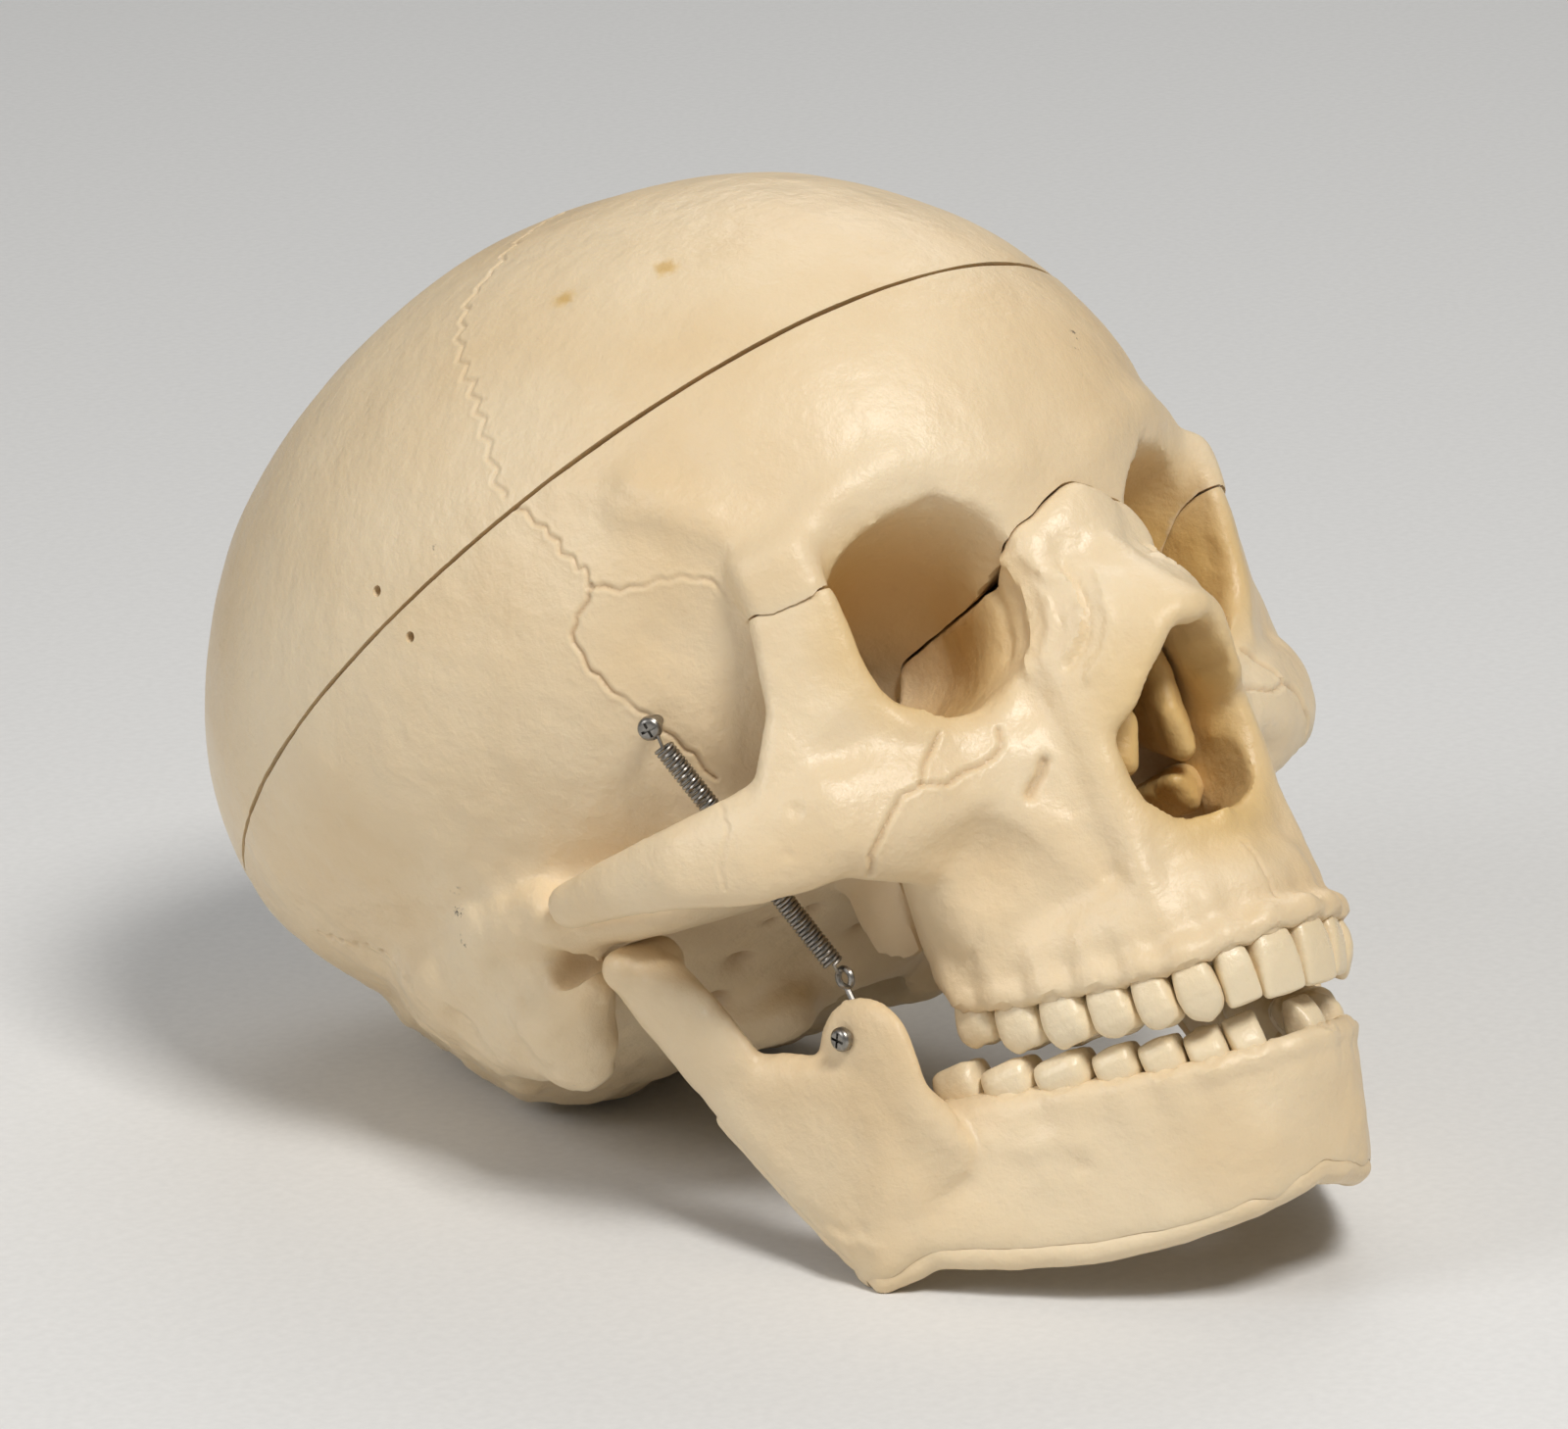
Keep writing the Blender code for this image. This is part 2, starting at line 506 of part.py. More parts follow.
def settle(item):
    """Apply an object's modifiers."""
    graph = bpy.context.evaluated_depsgraph_get()
    mesh = bpy.data.meshes.new_from_object(item.evaluated_get(graph))
    item.modifiers.clear()
    old = item.data
    item.data = mesh
    bpy.data.meshes.remove(old)
    return item


def melt(item, voxel, rounds, faces):
    """Fuse the forms of an object, soften their creases and thin the mesh to a count of faces."""
    fuse = item.modifiers.new("fuse", "REMESH")
    fuse.mode = "VOXEL"
    fuse.voxel_size = voxel
    soften = item.modifiers.new("soften", "SMOOTH")
    soften.factor = SOFTEN_SHARE
    soften.iterations = rounds
    settle(item)
    item.data.calc_loop_triangles()
    thin = item.modifiers.new("thin", "DECIMATE")
    thin.ratio = min(1.0, faces / len(item.data.loop_triangles))
    return settle(item)


def cut(item, cutter, operation="DIFFERENCE", folded=False):
    """Cut an object by another, which is then removed and may be folded through itself."""
    knife = item.modifiers.new("cut", "BOOLEAN")
    knife.operation = operation
    knife.solver = "EXACT"
    knife.use_self = folded
    knife.object = cutter
    settle(item)
    drop(cutter)
    return item


def drop(item):
    """Remove an object and its mesh."""
    mesh = item.data
    bpy.data.objects.remove(item)
    bpy.data.meshes.remove(mesh)


def swollen(item, gap):
    """A copy of an object whose surface lies a gap further out."""
    copy = new_object(item.name + "_swollen", item.data.copy())
    swell = copy.modifiers.new("swell", "DISPLACE")
    swell.strength = gap
    swell.mid_level = 0
    return settle(copy)


def slab(name, low, high, turn=Matrix()):
    """A box between two corners, turned about the origin."""
    form = bmesh.new()
    size = high - low
    middle = Matrix.Translation((low + high) / 2) @ Matrix.Diagonal((*size, 1))
    bmesh.ops.create_cube(form, size=1, matrix=turn @ middle)
    return from_form(name, form)


def rod(name, start, end, radius, sides=12, end_radius=None):
    """A round rod or cone from one place to another."""
    form = bmesh.new()
    along = end - start
    turn = Vector((0, 0, 1)).rotation_difference(along).to_matrix().to_4x4()
    matrix = Matrix.Translation((start + end) / 2) @ turn
    bmesh.ops.create_cone(form, cap_ends=True, segments=sides, radius1=radius,
                          radius2=radius if end_radius is None else end_radius,
                          depth=along.length, matrix=matrix)
    return from_form(name, form)


def vault_place(direction, inset):
    """The place on the brain case in a direction, moved in by an inset."""
    wide, long, tall = HALF_WIDTH - inset, HALF_LENGTH - inset, HALF_HEIGHT - inset
    if direction.z < 0:
        tall = HALF_HEIGHT * VAULT_FLAT_SHARE - inset
    taper = 1 + VAULT_TAPER_SHARE * direction.y
    return spot(VAULT_MIDDLE_SHARES) + Vector((wide * direction.x * taper, long * direction.y,
                                               tall * direction.z))


def vault(name, inset, across=48, up=28):
    """The egg of the brain case as a closed ball."""
    form = bmesh.new()
    bmesh.ops.create_uvsphere(form, u_segments=across, v_segments=up, radius=1)
    for vert in form.verts:
        vert.co = vault_place(vert.co, inset)
    bmesh.ops.triangulate(form, faces=form.faces)
    return from_form(name, form)


def cut_block(name, above, shift=0.0):
    """All that lies above or below the plane on which the skull cap parts."""
    reach = 2 * HALF_LENGTH + CUT_OVERRUN
    low = Vector((-reach, -reach, shift if above else -reach))
    high = Vector((reach, reach, reach if above else -shift))
    turn = Matrix.Translation((0, 0, CUT_HEIGHT)) @ Matrix.Rotation(-CUT_SLOPE, 4, "X")
    return slab(name, low, high, turn)


def cut_up():
    """The direction square to the plane on which the cap parts."""
    return Matrix.Rotation(-CUT_SLOPE, 3, "X") @ Vector((0, 0, 1))


def material(name, finish, metallic=0):
    """A material of one colour and roughness."""
    colour, rough = finish
    item = bpy.data.materials.new(name)
    item.use_nodes = True
    shader = item.node_tree.nodes["Principled BSDF"]
    shader.inputs["Base Color"].default_value = (*colour, 1)
    shader.inputs["Roughness"].default_value = rough
    shader.inputs["Metallic"].default_value = metallic
    item.diffuse_color = (*colour, 1)
    return item


def brain_hollow():
    """The hollow of the skull base: a dome over a shelf, and three pairs of fossae."""
    form = bmesh.new()
    floor = SHELF_SHARE * HALF_HEIGHT
    dome = [vault_place(point, SKULL_WALL) for point in unit_sphere(4)]
    skin(form, [point for point in dome if point.z > floor])
    for fossa in FOSSA_SHARES:
        both_sides(form, web, (fossa,))
    hollow = melt(from_form("brain_hollow", form), VOXEL, 6, HOLLOW_FACES * 2)
    return cut(hollow, vault("brain_wall", SKULL_WALL, 28, 16), "INTERSECT")


def seam_block(name, edge, drop_by):
    """The room in front of the base, from its seam with the face down or up to a level."""
    space = bmesh.new()
    for side in (1, -1):
        for first in range(3):
            corners = [spot((side * row[at][0], *row[at][1:])) - Vector((0, 0, drop_by))
                       for row in FACE_SPACE_SHARES for at in (first, first + 1)]
            skin(space, corners + [Vector((corner.x, corner.y, edge)) for corner in corners])
    return melt(from_form(name, space), VOXEL, 1, HOLLOW_FACES)


def make_base():
    """The skull base: a bowl with eye socket roofs, jaw sockets, mastoids and neck opening."""
    base = vault("base", 0)
    form = bmesh.new()
    form.from_mesh(base.data)
    drop(base)
    for balls in BASE_CHAIN_SHARES.values():
        both_sides(form, chain, balls)
    for balls in BASE_WEB_SHARES.values():
        both_sides(form, web, balls)
    base = melt(from_form("base", form), VOXEL, 5, BASE_FACES)
    cut(base, seam_block("face_space", -HALF_HEIGHT, 0))
    sockets = bmesh.new()
    both_sides(sockets, chain, EYE_SOCKET_SHARES)
    cut(base, melt(from_form("eye_sockets", sockets), VOXEL, 6, HOLLOW_FACES))
    cut(base, brain_hollow())
    cut(base, cut_block("above_cut", True))
    return base


def make_cap():
    """The skull cap: the brain case above the cut, as a shell."""
    cap = vault("cap", 0, 36, 20)
    inner = vault("cap_hollow", SKULL_WALL, 24, 14)
    cut(cap, inner)
    return cut(cap, cut_block("below_cut", False, -SEAT_GAP))


def make_face():
    """The face: cheekbones and their arches, upper jaw, nose and eye socket floors.

    The cup of each eye socket's floor and inner wall ends at a slit along the base's seam.
    """
    cups = bmesh.new()
    both_sides(cups, chain, EYE_CUP_SHARES[1:], EYE_CUP_WALL)
    cups = melt(from_form("eye_cups", cups), VOXEL, 1, HOLLOW_FACES * 2)
    cut(cups, seam_block("brow_space", HALF_HEIGHT, EYE_SLIT))
    form = bmesh.new()
    form.from_mesh(cups.data)
    drop(cups)
    for balls in FACE_CHAIN_SHARES.values():
        both_sides(form, chain, balls)
    for balls in FACE_WEB_SHARES.values():
        both_sides(form, web, balls)
    face = melt(from_form("face", form), FINE_VOXEL, 3, FACE_FACES)
    hollow = bmesh.new()
    both_sides(hollow, chain, NOSE_HOLLOW_SHARES[:3])
    for balls in (NOSE_HOLLOW_SHARES[1:5], NOSE_HOLLOW_SHARES[3:], NOSE_HOLLOW_SHARES[1::5]):
        both_sides(hollow, web, balls)
    cut(face, melt(from_form("nose_hollow", hollow), VOXEL, 4, HOLLOW_FACES))
    bowls = bmesh.new()
    both_sides(bowls, chain, EYE_CUP_SHARES)
    cut(face, melt(from_form("eye_bowls", bowls), VOXEL, 6, HOLLOW_FACES))
    low, high = (spot(corner) for corner in BROW_SEAM_SHARES)
    cut(face, slab("left_brow_seam", low, high))
    return cut(face, slab("right_brow_seam", Vector((-high.x, low.y, low.z)),
                          Vector((-low.x, high.y, high.z))))


def ring(form, middle, along, out, half_width, half_depth):
    """A ring of corners round a tooth, nearly square with rounded corners."""
    corners = []
    for step in range(TOOTH_SIDES):
        turn = math.tau * (step + HALF) / TOOTH_SIDES
        wide = math.copysign(abs(math.cos(turn)) ** TOOTH_SQUARE_SHARE, math.cos(turn))
        deep = math.copysign(abs(math.sin(turn)) ** TOOTH_SQUARE_SHARE, math.sin(turn))
        corners.append(form.verts.new(middle + along * wide * half_width
                                      + out * deep * half_depth))
    return corners


def tooth(form, sizes, foot, edge, along, grow):
    """A tooth from its root's tip to its biting edge, as a stack of rings."""
    width, depth, profile = sizes
    up = (edge - foot).normalized()
    out = along.cross(up).normalized()
    rings = []
    for height, wide, deep in profile:
        if height < 0:
            middle = foot + up * (ROOT_DEPTH + grow) * height
        else:
            middle = foot + (edge - foot) * height
        rings.append(ring(form, middle, along, out, width * wide / 2 + grow,
                          depth * deep / 2 + grow))
    for lower, upper in zip(rings, rings[1:]):
        for step in range(TOOTH_SIDES):
            after = (step + 1) % TOOTH_SIDES
            form.faces.new((lower[step], lower[after], upper[after], upper[step]))
    form.faces.new(rings[-1])
    form.faces.new(rings[0])


def tooth_row(places, edges, widths, side):
    """Feet, edges, headings and widths of one quarter of the teeth, from the midline back."""
    feet = [spot((side * place[0], *place[1:])) for place in places]
    row = []
    for count, foot in enumerate(feet):
        ahead = feet[count - 1] if count else spot((-side * places[0][0], *places[0][1:]))
        behind = feet[count + 1] if count + 1 < len(feet) else 2 * foot - ahead
        along = behind - ahead
        along.z = 0
        width = along.length * widths[count]
        tip = Vector((foot.x, foot.y, edges[count] * HALF_HEIGHT))
        row.append((foot, tip, along.normalized(), width))
    return row


def make_teeth(upper):
    """Every tooth of one jaw as an object, and cutters for the sockets of all of them."""
    places = UPPER_TOOTH_SHARES if upper else LOWER_TOOTH_SHARES
    edges = UPPER_EDGE_SHARES if upper else LOWER_EDGE_SHARES
    widths = UPPER_WIDTH_SHARES if upper else LOWER_WIDTH_SHARES
    depths = UPPER_DEPTH_SHARES if upper else LOWER_DEPTH_SHARES
    level = "upper" if upper else "lower"
    teeth, cutters = [], []
    for side_name, side in (("left", 1), ("right", -1)):
        row = tooth_row(places, edges, widths, side)
        for count, (foot, tip, along, width) in enumerate(row):
            sizes = (width, width * depths[count], TOOTH_PROFILE_SHARES[TOOTH_KINDS[count]])
            name = f"{level}_{TOOTH_NAMES[count]}_{side_name}"
            for grow in (0, SEAT_GAP):
                form = bmesh.new()
                tooth(form, sizes, foot, tip, along, grow)
                bmesh.ops.triangulate(form, faces=form.faces)
                item = from_form(name if grow == 0 else "socket", form)
                if grow:
                    cutters.append(item)
                elif upper or (side_name, count + 1) not in MISSING_LOWER:
                    teeth.append(item)
                else:
                    drop(item)
    return teeth, cutters


def cut_sockets(carrier, cutters):
    """Cut the sockets of all teeth of one jaw at once."""
    tray = bpy.data.collections.new("sockets")
    bpy.context.scene.collection.children.link(tray)
    for cutter in cutters:
        tray.objects.link(cutter)
    knife = carrier.modifiers.new("sockets", "BOOLEAN")
    knife.operation = "DIFFERENCE"
    knife.solver = "EXACT"
    knife.operand_type = "COLLECTION"
    knife.collection = tray
    settle(carrier)
    for cutter in cutters:
        drop(cutter)
    bpy.data.collections.remove(tray)


def make_jaw():
    """The lower jaw without the strip that closes its lower border."""
    form = bmesh.new()
    for balls in JAW_CHAIN_SHARES.values():
        both_sides(form, chain, balls)
    for balls in JAW_WEB_SHARES.values():
        both_sides(form, web, balls)
    both_sides(form, web, (GONION_SHARES, JAW_BORDER_SHARES[0]))
    for first in range(len(JAW_GUM_SHARES) - 1):
        both_sides(form, web, JAW_GUM_SHARES[first:first + 2] + JAW_BORDER_SHARES[first:first + 2])
    return melt(from_form("jaw", form), FINE_VOXEL, 3, JAW_FACES)


def make_strip():
    """The strip that closes the lower border of the jaw, from ramus to ramus."""
    form = bmesh.new()
    both_sides(form, chain, JAW_STRIP_SHARES)
    return melt(from_form("strip", form), STRIP_VOXEL, 2, STRIP_FACES)


def spring_path(start, end):
    """The middle of the wire: straight ends, and curls that open and close in half a turn."""
    along = (end - start).normalized()
    aside = along.orthogonal().normalized()
    third = along.cross(aside)
    reach = (end - start).length - 2 * SPRING_WIRE
    steps = SPRING_CURLS * CURL_POINTS
    points = [start]
    for step in range(steps + 1):
        share = step / steps
        turn = math.tau * step / CURL_POINTS
        opening = min(1, 2 * step / CURL_POINTS, 2 * (steps - step) / CURL_POINTS)
        radius = (SPRING_DIAMETER - SPRING_WIRE) / 2 * opening
        points.append(start + along * (SPRING_WIRE + reach * share)
                      + (aside * math.cos(turn) + third * math.sin(turn)) * radius)
    return points + [end]


def wire(name, points, diameter):
    """A round wire with closed ends through a list of points."""
    curve = bpy.data.curves.new(name, "CURVE")
    curve.dimensions = "3D"
    curve.bevel_depth = diameter / 2
    curve.bevel_resolution = 1
    curve.use_fill_caps = True
    line = curve.splines.new("POLY")
    line.points.add(len(points) - 1)
    for point, place in zip(line.points, points):
        point.co = (*place, 1)
    return new_object(name, curve)


def least_gap(points, diameter):
    """The least clear space between stretches of a wire that are over half a curl apart."""
    places = np.array([tuple(point) for point in points])
    least = math.inf
    for step in range(CURL_POINTS // 2 + 1, len(places)):
        near = np.linalg.norm(places[step:] - places[:-step], axis=1)
        least = min(least, near.min())
        if step > 2 * CURL_POINTS:
            break
    return least - diameter


def cut_openings(base):
    """The neck opening, oval, and the two ear openings."""
    middle = spot(FORAMEN_SHARES)
    reach = Vector((0, 0, CUT_OVERRUN))
    hole = rod("neck_opening", middle - reach, middle + reach, 1, 20)
    for vert in hole.data.vertices:
        vert.co.x = middle.x + (vert.co.x - middle.x) * FORAMEN_WIDTH / 2
        vert.co.y = middle.y + (vert.co.y - middle.y) * FORAMEN_LENGTH / 2
    cut(base, hole)
    for side in (1, -1):
        ear = spot((side * EAR_SHARES[0], *EAR_SHARES[1:]))
        inward = Vector((side * EAR_DEPTH, 0, 0))
        cut(base, rod("ear_opening", ear - inward, ear + inward, EAR_BORE / 2))


def jaw_socket_cutter():
    """The room that each condyle and its neck sweep as the jaw swings open."""
    form = bmesh.new()
    hinge = spot(HINGE_SHARES)
    neck = JAW_CHAIN_SHARES["neck"]
    for side in (1, -1):
        for step in range(SWING_STEPS + 1):
            turn = Matrix.Rotation(JAW_OPENING * step / SWING_STEPS, 3, "X")
            for balls in (JAW_CHAIN_SHARES["condyle"], neck[:2], neck[1:]):
                balls = balls if side > 0 else mirrored(balls)
                skin(form, [hinge + turn @ (point - hinge)
                            for point in ball_points(balls, SWING_GAP)])
    return melt(from_form("jaw_sockets", form), FINE_VOXEL, 1, HOLLOW_FACES * 2)


def part_pieces(item, other, gap):
    """Cut away from a piece whatever comes closer to its neighbour than a gap.

    The second cut, by a copy that is hardly swollen, follows the neighbour's sharpest corners.
    A swollen copy can fold through itself in tight hollows.
    """
    cut(item, swollen(other, gap), folded=True)
    return cut(item, swollen(other, gap * CORNER_GAP_SHARE), folded=True)


def screw(name, place, out, upright):
    """A screw with a round head, a cross in it and a shank behind it."""
    head = rod(name, place, place + out * SCREW_HEAD_HEIGHT, SCREW_HEAD / 2, 12,
               SCREW_HEAD / 2 * SCREW_DOME_SHARE)
    shank = rod("shank", place - out * SCREW_LENGTH, place + out * SCREW_HEAD_HEIGHT / 2,
                SCREW_SHANK / 2, 8)
    cut(head, shank, "UNION")
    for turn in (0, math.pi / 2):
        aside = Matrix.Rotation(turn, 3, out) @ upright
        across = aside.cross(out)
        form = bmesh.new()
        frame = Matrix((aside, across, out)).transposed().to_4x4()
        size = Vector((SCREW_HEAD * SCREW_CROSS_SHARE, SCREW_SLOT, SCREW_HEAD_HEIGHT))
        centre = Matrix.Translation(place + out * SCREW_HEAD_HEIGHT)
        bmesh.ops.create_cube(form, size=1, matrix=centre @ frame @ Matrix.Diagonal((*size, 1)))
        cut(head, from_form("cross", form))
    return head


def outward(place):
    """The direction square to the brain case at a place."""
    around = place - spot(VAULT_MIDDLE_SHARES)
    return Vector((around.x / HALF_WIDTH ** 2, around.y / HALF_LENGTH ** 2,
                   around.z / HALF_HEIGHT ** 2)).normalized()


def rest_pitch(back, front):
    """The tilt at which the lowest points of the skull's back and of the jaw share one floor."""
    low, high = MIN_PITCH, MAX_PITCH
    for _ in range(PITCH_STEPS):
        pitch = (low + high) / 2
        down = np.array((0, math.sin(pitch), -math.cos(pitch)))
        if (back @ down).max() > (front @ down).max():
            high = pitch
        else:
            low = pitch
    return pitch


def corners_of(item):
    """All corners of an object's mesh, as an array."""
    return np.array([tuple(vert.co) for vert in item.data.vertices])


def floor_block(pitch, height):
    """All that lies below the floor, in the skull's own frame."""
    reach = 2 * HALF_LENGTH + CUT_OVERRUN
    return slab("floor", Vector((-reach, -reach, height - reach)),
                Vector((reach, reach, height)), Matrix.Rotation(pitch, 4, "X"))


def main():
    """Build every piece in the skull's frame, then stand the skull on the floor."""
    for item in list(bpy.data.objects):
        bpy.data.objects.remove(item)
    bone = material("bone_plastic", BONE_FINISH)
    enamel = material("tooth_plastic", TOOTH_FINISH)
    bright = material("bright_steel", STEEL_FINISH, 1)

    face = make_face()
    base = make_base()
    cap = make_cap()
    jaw = make_jaw()
    strip = make_strip()
    cut_openings(base)
    part_pieces(base, face, SEAT_GAP)
    cut(base, jaw_socket_cutter())
    part_pieces(jaw, strip, SEAT_GAP)
    upper, upper_sockets = make_teeth(True)
    lower, lower_sockets = make_teeth(False)
    cut_sockets(face, upper_sockets)
    cut_sockets(jaw, lower_sockets)

    pieces = [(base, "skull_base", bone), (cap, "skull_cap", bone), (face, "face", bone),
              (jaw, "lower_jaw", bone), (strip, "jaw_border_strip", bone)]
    pieces += [(item, item.name, enamel) for item in upper + lower]
    pieces += make_nose_insides(face, bone)
    pieces += make_pins(base, cap, bright)
    pieces += make_metal(base, jaw, bright)

    back = corners_of(base)
    back = back[back[:, 1] > 0]
    pitch = rest_pitch(back, corners_of(strip))
    down = np.array((0, math.sin(pitch), -math.cos(pitch)))
    floor = REST_FLAT_DEPTH - (back @ down).max()
    for item in (base, strip):
        cut(item, floor_block(pitch, floor))
    stand(pieces, pitch, floor)


def stand(pieces, pitch, floor):
    """Tilt the skull to its rest and set it on the floor, with its middle over the origin."""
    turn = np.array(Matrix.Rotation(-pitch, 3, "X"))
    corners = np.vstack([corners_of(item) for item, _, _ in pieces])
    corners = corners @ turn.T
    middle = (corners.min(axis=0) + corners.max(axis=0)) / 2
    rest = bpy.data.objects.new("rest_pose", None)
    bpy.context.collection.objects.link(rest)
    rest.rotation_euler = (-pitch, 0, 0)
    rest.location = (-middle[0], -middle[1], -floor)
    print("tilt at rest, degrees:", round(math.degrees(pitch), GAP_DIGITS),
          "shift, metres:", [round(step, GAP_DIGITS) for step in rest.location])
    hinge = bpy.data.objects.new("jaw_hinge", None)
    bpy.context.collection.objects.link(hinge)
    hinge.location = spot(HINGE_SHARES)
    hinge.parent = rest
    for item, name, finish in pieces:
        item.name = name
        item.data.name = name
        item.data.materials.clear()
        item.data.materials.append(finish)
        item.data.shade_smooth()
        item.data.set_sharp_from_angle(angle=SHARP_ANGLE)
        if name.startswith(JAW_NAMES):
            item.parent = hinge
            item.matrix_parent_inverse = Matrix.Translation(-hinge.location)
        else:
            item.parent = rest


def make_nose_insides(face, finish):
    """The septum and the two pairs of curled shells inside the nose."""
    pieces = []
    form = bmesh.new()
    web(form, SEPTUM_SHARES)
    septum = melt(from_form("septum", form), STRIP_VOXEL, 1, INSERT_FACES)
    part_pieces(septum, face, SEAT_GAP)
    pieces.append((septum, "nasal_septum", finish))
    for level, balls in CONCHA_SHARES.items():
        for side, forms in (("left", balls), ("right", mirrored(balls))):
            form = bmesh.new()
            web(form, forms)
            shell = melt(from_form("shell", form), STRIP_VOXEL, 2, INSERT_FACES)
            part_pieces(shell, face, SEAT_GAP)
            pieces.append((shell, f"nasal_shell_{level}_{side}", finish))
    return pieces


def make_pins(base, cap, finish):
    """Steel pins in the rim of the base, on which the cap is located."""
    up = cut_up()
    pieces = []
    for count, (right, back) in enumerate(CAP_PIN_SHARES):
        place = spot((right, back, 0)) + Vector((0, spot(VAULT_MIDDLE_SHARES).y, 0))
        place = place * PIN_RING_SHARE
        place.z = CUT_HEIGHT - place.y * math.tan(CUT_SLOPE)
        half = up * PIN_LENGTH / 2
        cut(base, rod("hole", place - half - up * SEAT_GAP, place + half, PIN_DIAMETER / 2
                      + SEAT_GAP))
        cut(cap, rod("hole", place - half, place + half + up * SEAT_GAP, PIN_DIAMETER / 2
                     + SEAT_GAP))
        pieces.append((rod("pin", place - half, place + half, PIN_DIAMETER / 2),
                       f"cap_pin_{count + 1}", finish))
    return pieces


def make_metal(base, jaw, finish):
    """Spring screws on the temples, screws and eyelets on the jaw, and the springs between."""
    pieces = []
    for side_name, side in (("left", 1), ("right", -1)):
        temple = spot((side * SPRING_SCREW_SHARES[0], *SPRING_SCREW_SHARES[1:]))
        out = outward(temple)
        upright = out.cross(Vector((0, 1, 0))).normalized()
        item = screw("spring_screw", temple + out * SCREW_STAND, out, upright)
        cut(base, rod("hole", temple - out * (SCREW_LENGTH - SCREW_STAND + SEAT_GAP),
                      temple + out * SCREW_LENGTH, SCREW_SHANK / 2 + SEAT_GAP))
        pieces.append((item, f"spring_screw_{side_name}", finish))
        place = spot((side * JAW_SCREW_SHARES[0], *JAW_SCREW_SHARES[1:]))
        out = Vector((side, 0, 0))
        item = screw("jaw_screw", place, out, Vector((0, 1, 0)))
        cut(jaw, rod("hole", place - out * CUT_OVERRUN / 2, place + out * CUT_OVERRUN / 2,
                     SCREW_SHANK / 2 + SEAT_GAP))
        pieces.append((item, f"jaw_screw_{side_name}", finish))
        ring_middle = spot((side * EYELET_SHARES[0], *EYELET_SHARES[1:]))
        eyelet = settle_wire(wire("eyelet", eyelet_path(ring_middle, place), EYELET_WIRE))
        part_pieces(jaw, eyelet, SEAT_GAP)
        pieces.append((eyelet, f"jaw_eyelet_{side_name}", finish))
        top = temple + outward(temple) * SPRING_STAND
        along = (ring_middle - top).normalized()
        start = top + along * (SCREW_HEAD / 2 + SEAT_GAP)
        end = ring_middle - along * (EYELET_BORE / 2 + EYELET_WIRE + SEAT_GAP)
        path = spring_path(start, end)
        print("least gap of the", side_name, "spring to itself, metres:",
              round(least_gap(path, SPRING_WIRE), GAP_DIGITS))
        spring = settle_wire(wire("spring", path, SPRING_WIRE))
        pieces.append((spring, f"jaw_spring_{side_name}", finish))
    return pieces


def eyelet_path(middle, screw_place):
    """A wire eyelet: a stem that rises from the jaw screw, then most of a ring."""
    radius = (EYELET_BORE + EYELET_WIRE) / 2
    foot = SCREW_SHANK / 2 + SEAT_GAP + EYELET_WIRE / 2
    points = [Vector((middle.x, middle.y, screw_place.z + foot))]
    for step in range(EYELET_STEPS + 1):
        turn = EYELET_TURN * step / EYELET_STEPS
        points.append(middle + Vector((0, math.sin(turn), -math.cos(turn))) * radius)
    return points


def settle_wire(item):
    """Turn a wire into a mesh object."""
    graph = bpy.context.evaluated_depsgraph_get()
    mesh = bpy.data.meshes.new_from_object(item.evaluated_get(graph))
    name = item.name
    curve = item.data
    bpy.data.objects.remove(item)
    bpy.data.curves.remove(curve)
    form = bmesh.new()
    form.from_mesh(mesh)
    bpy.data.meshes.remove(mesh)
    bmesh.ops.remove_doubles(form, verts=form.verts, dist=MERGE_REACH)
    return from_form(name, form)


SPHERE = unit_sphere()
main()
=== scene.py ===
"""Anatomical skull model: the finished look of each piece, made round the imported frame.

The bones are drawn in the skull's own frame, in millimetres: the origin lies midway between the
ear openings, the face looks along -Y, the skull's left is +X and +Z runs to the top of the head.
A ball in a table is its middle and its radius, or its three half sizes.  A web is the tight skin
round its balls, and a chain is a web for each two neighbours.
"""
import json
import math

import bmesh
import bpy
import numpy as np
from mathutils import Matrix, Vector, noise
from mathutils.bvhtree import BVHTree


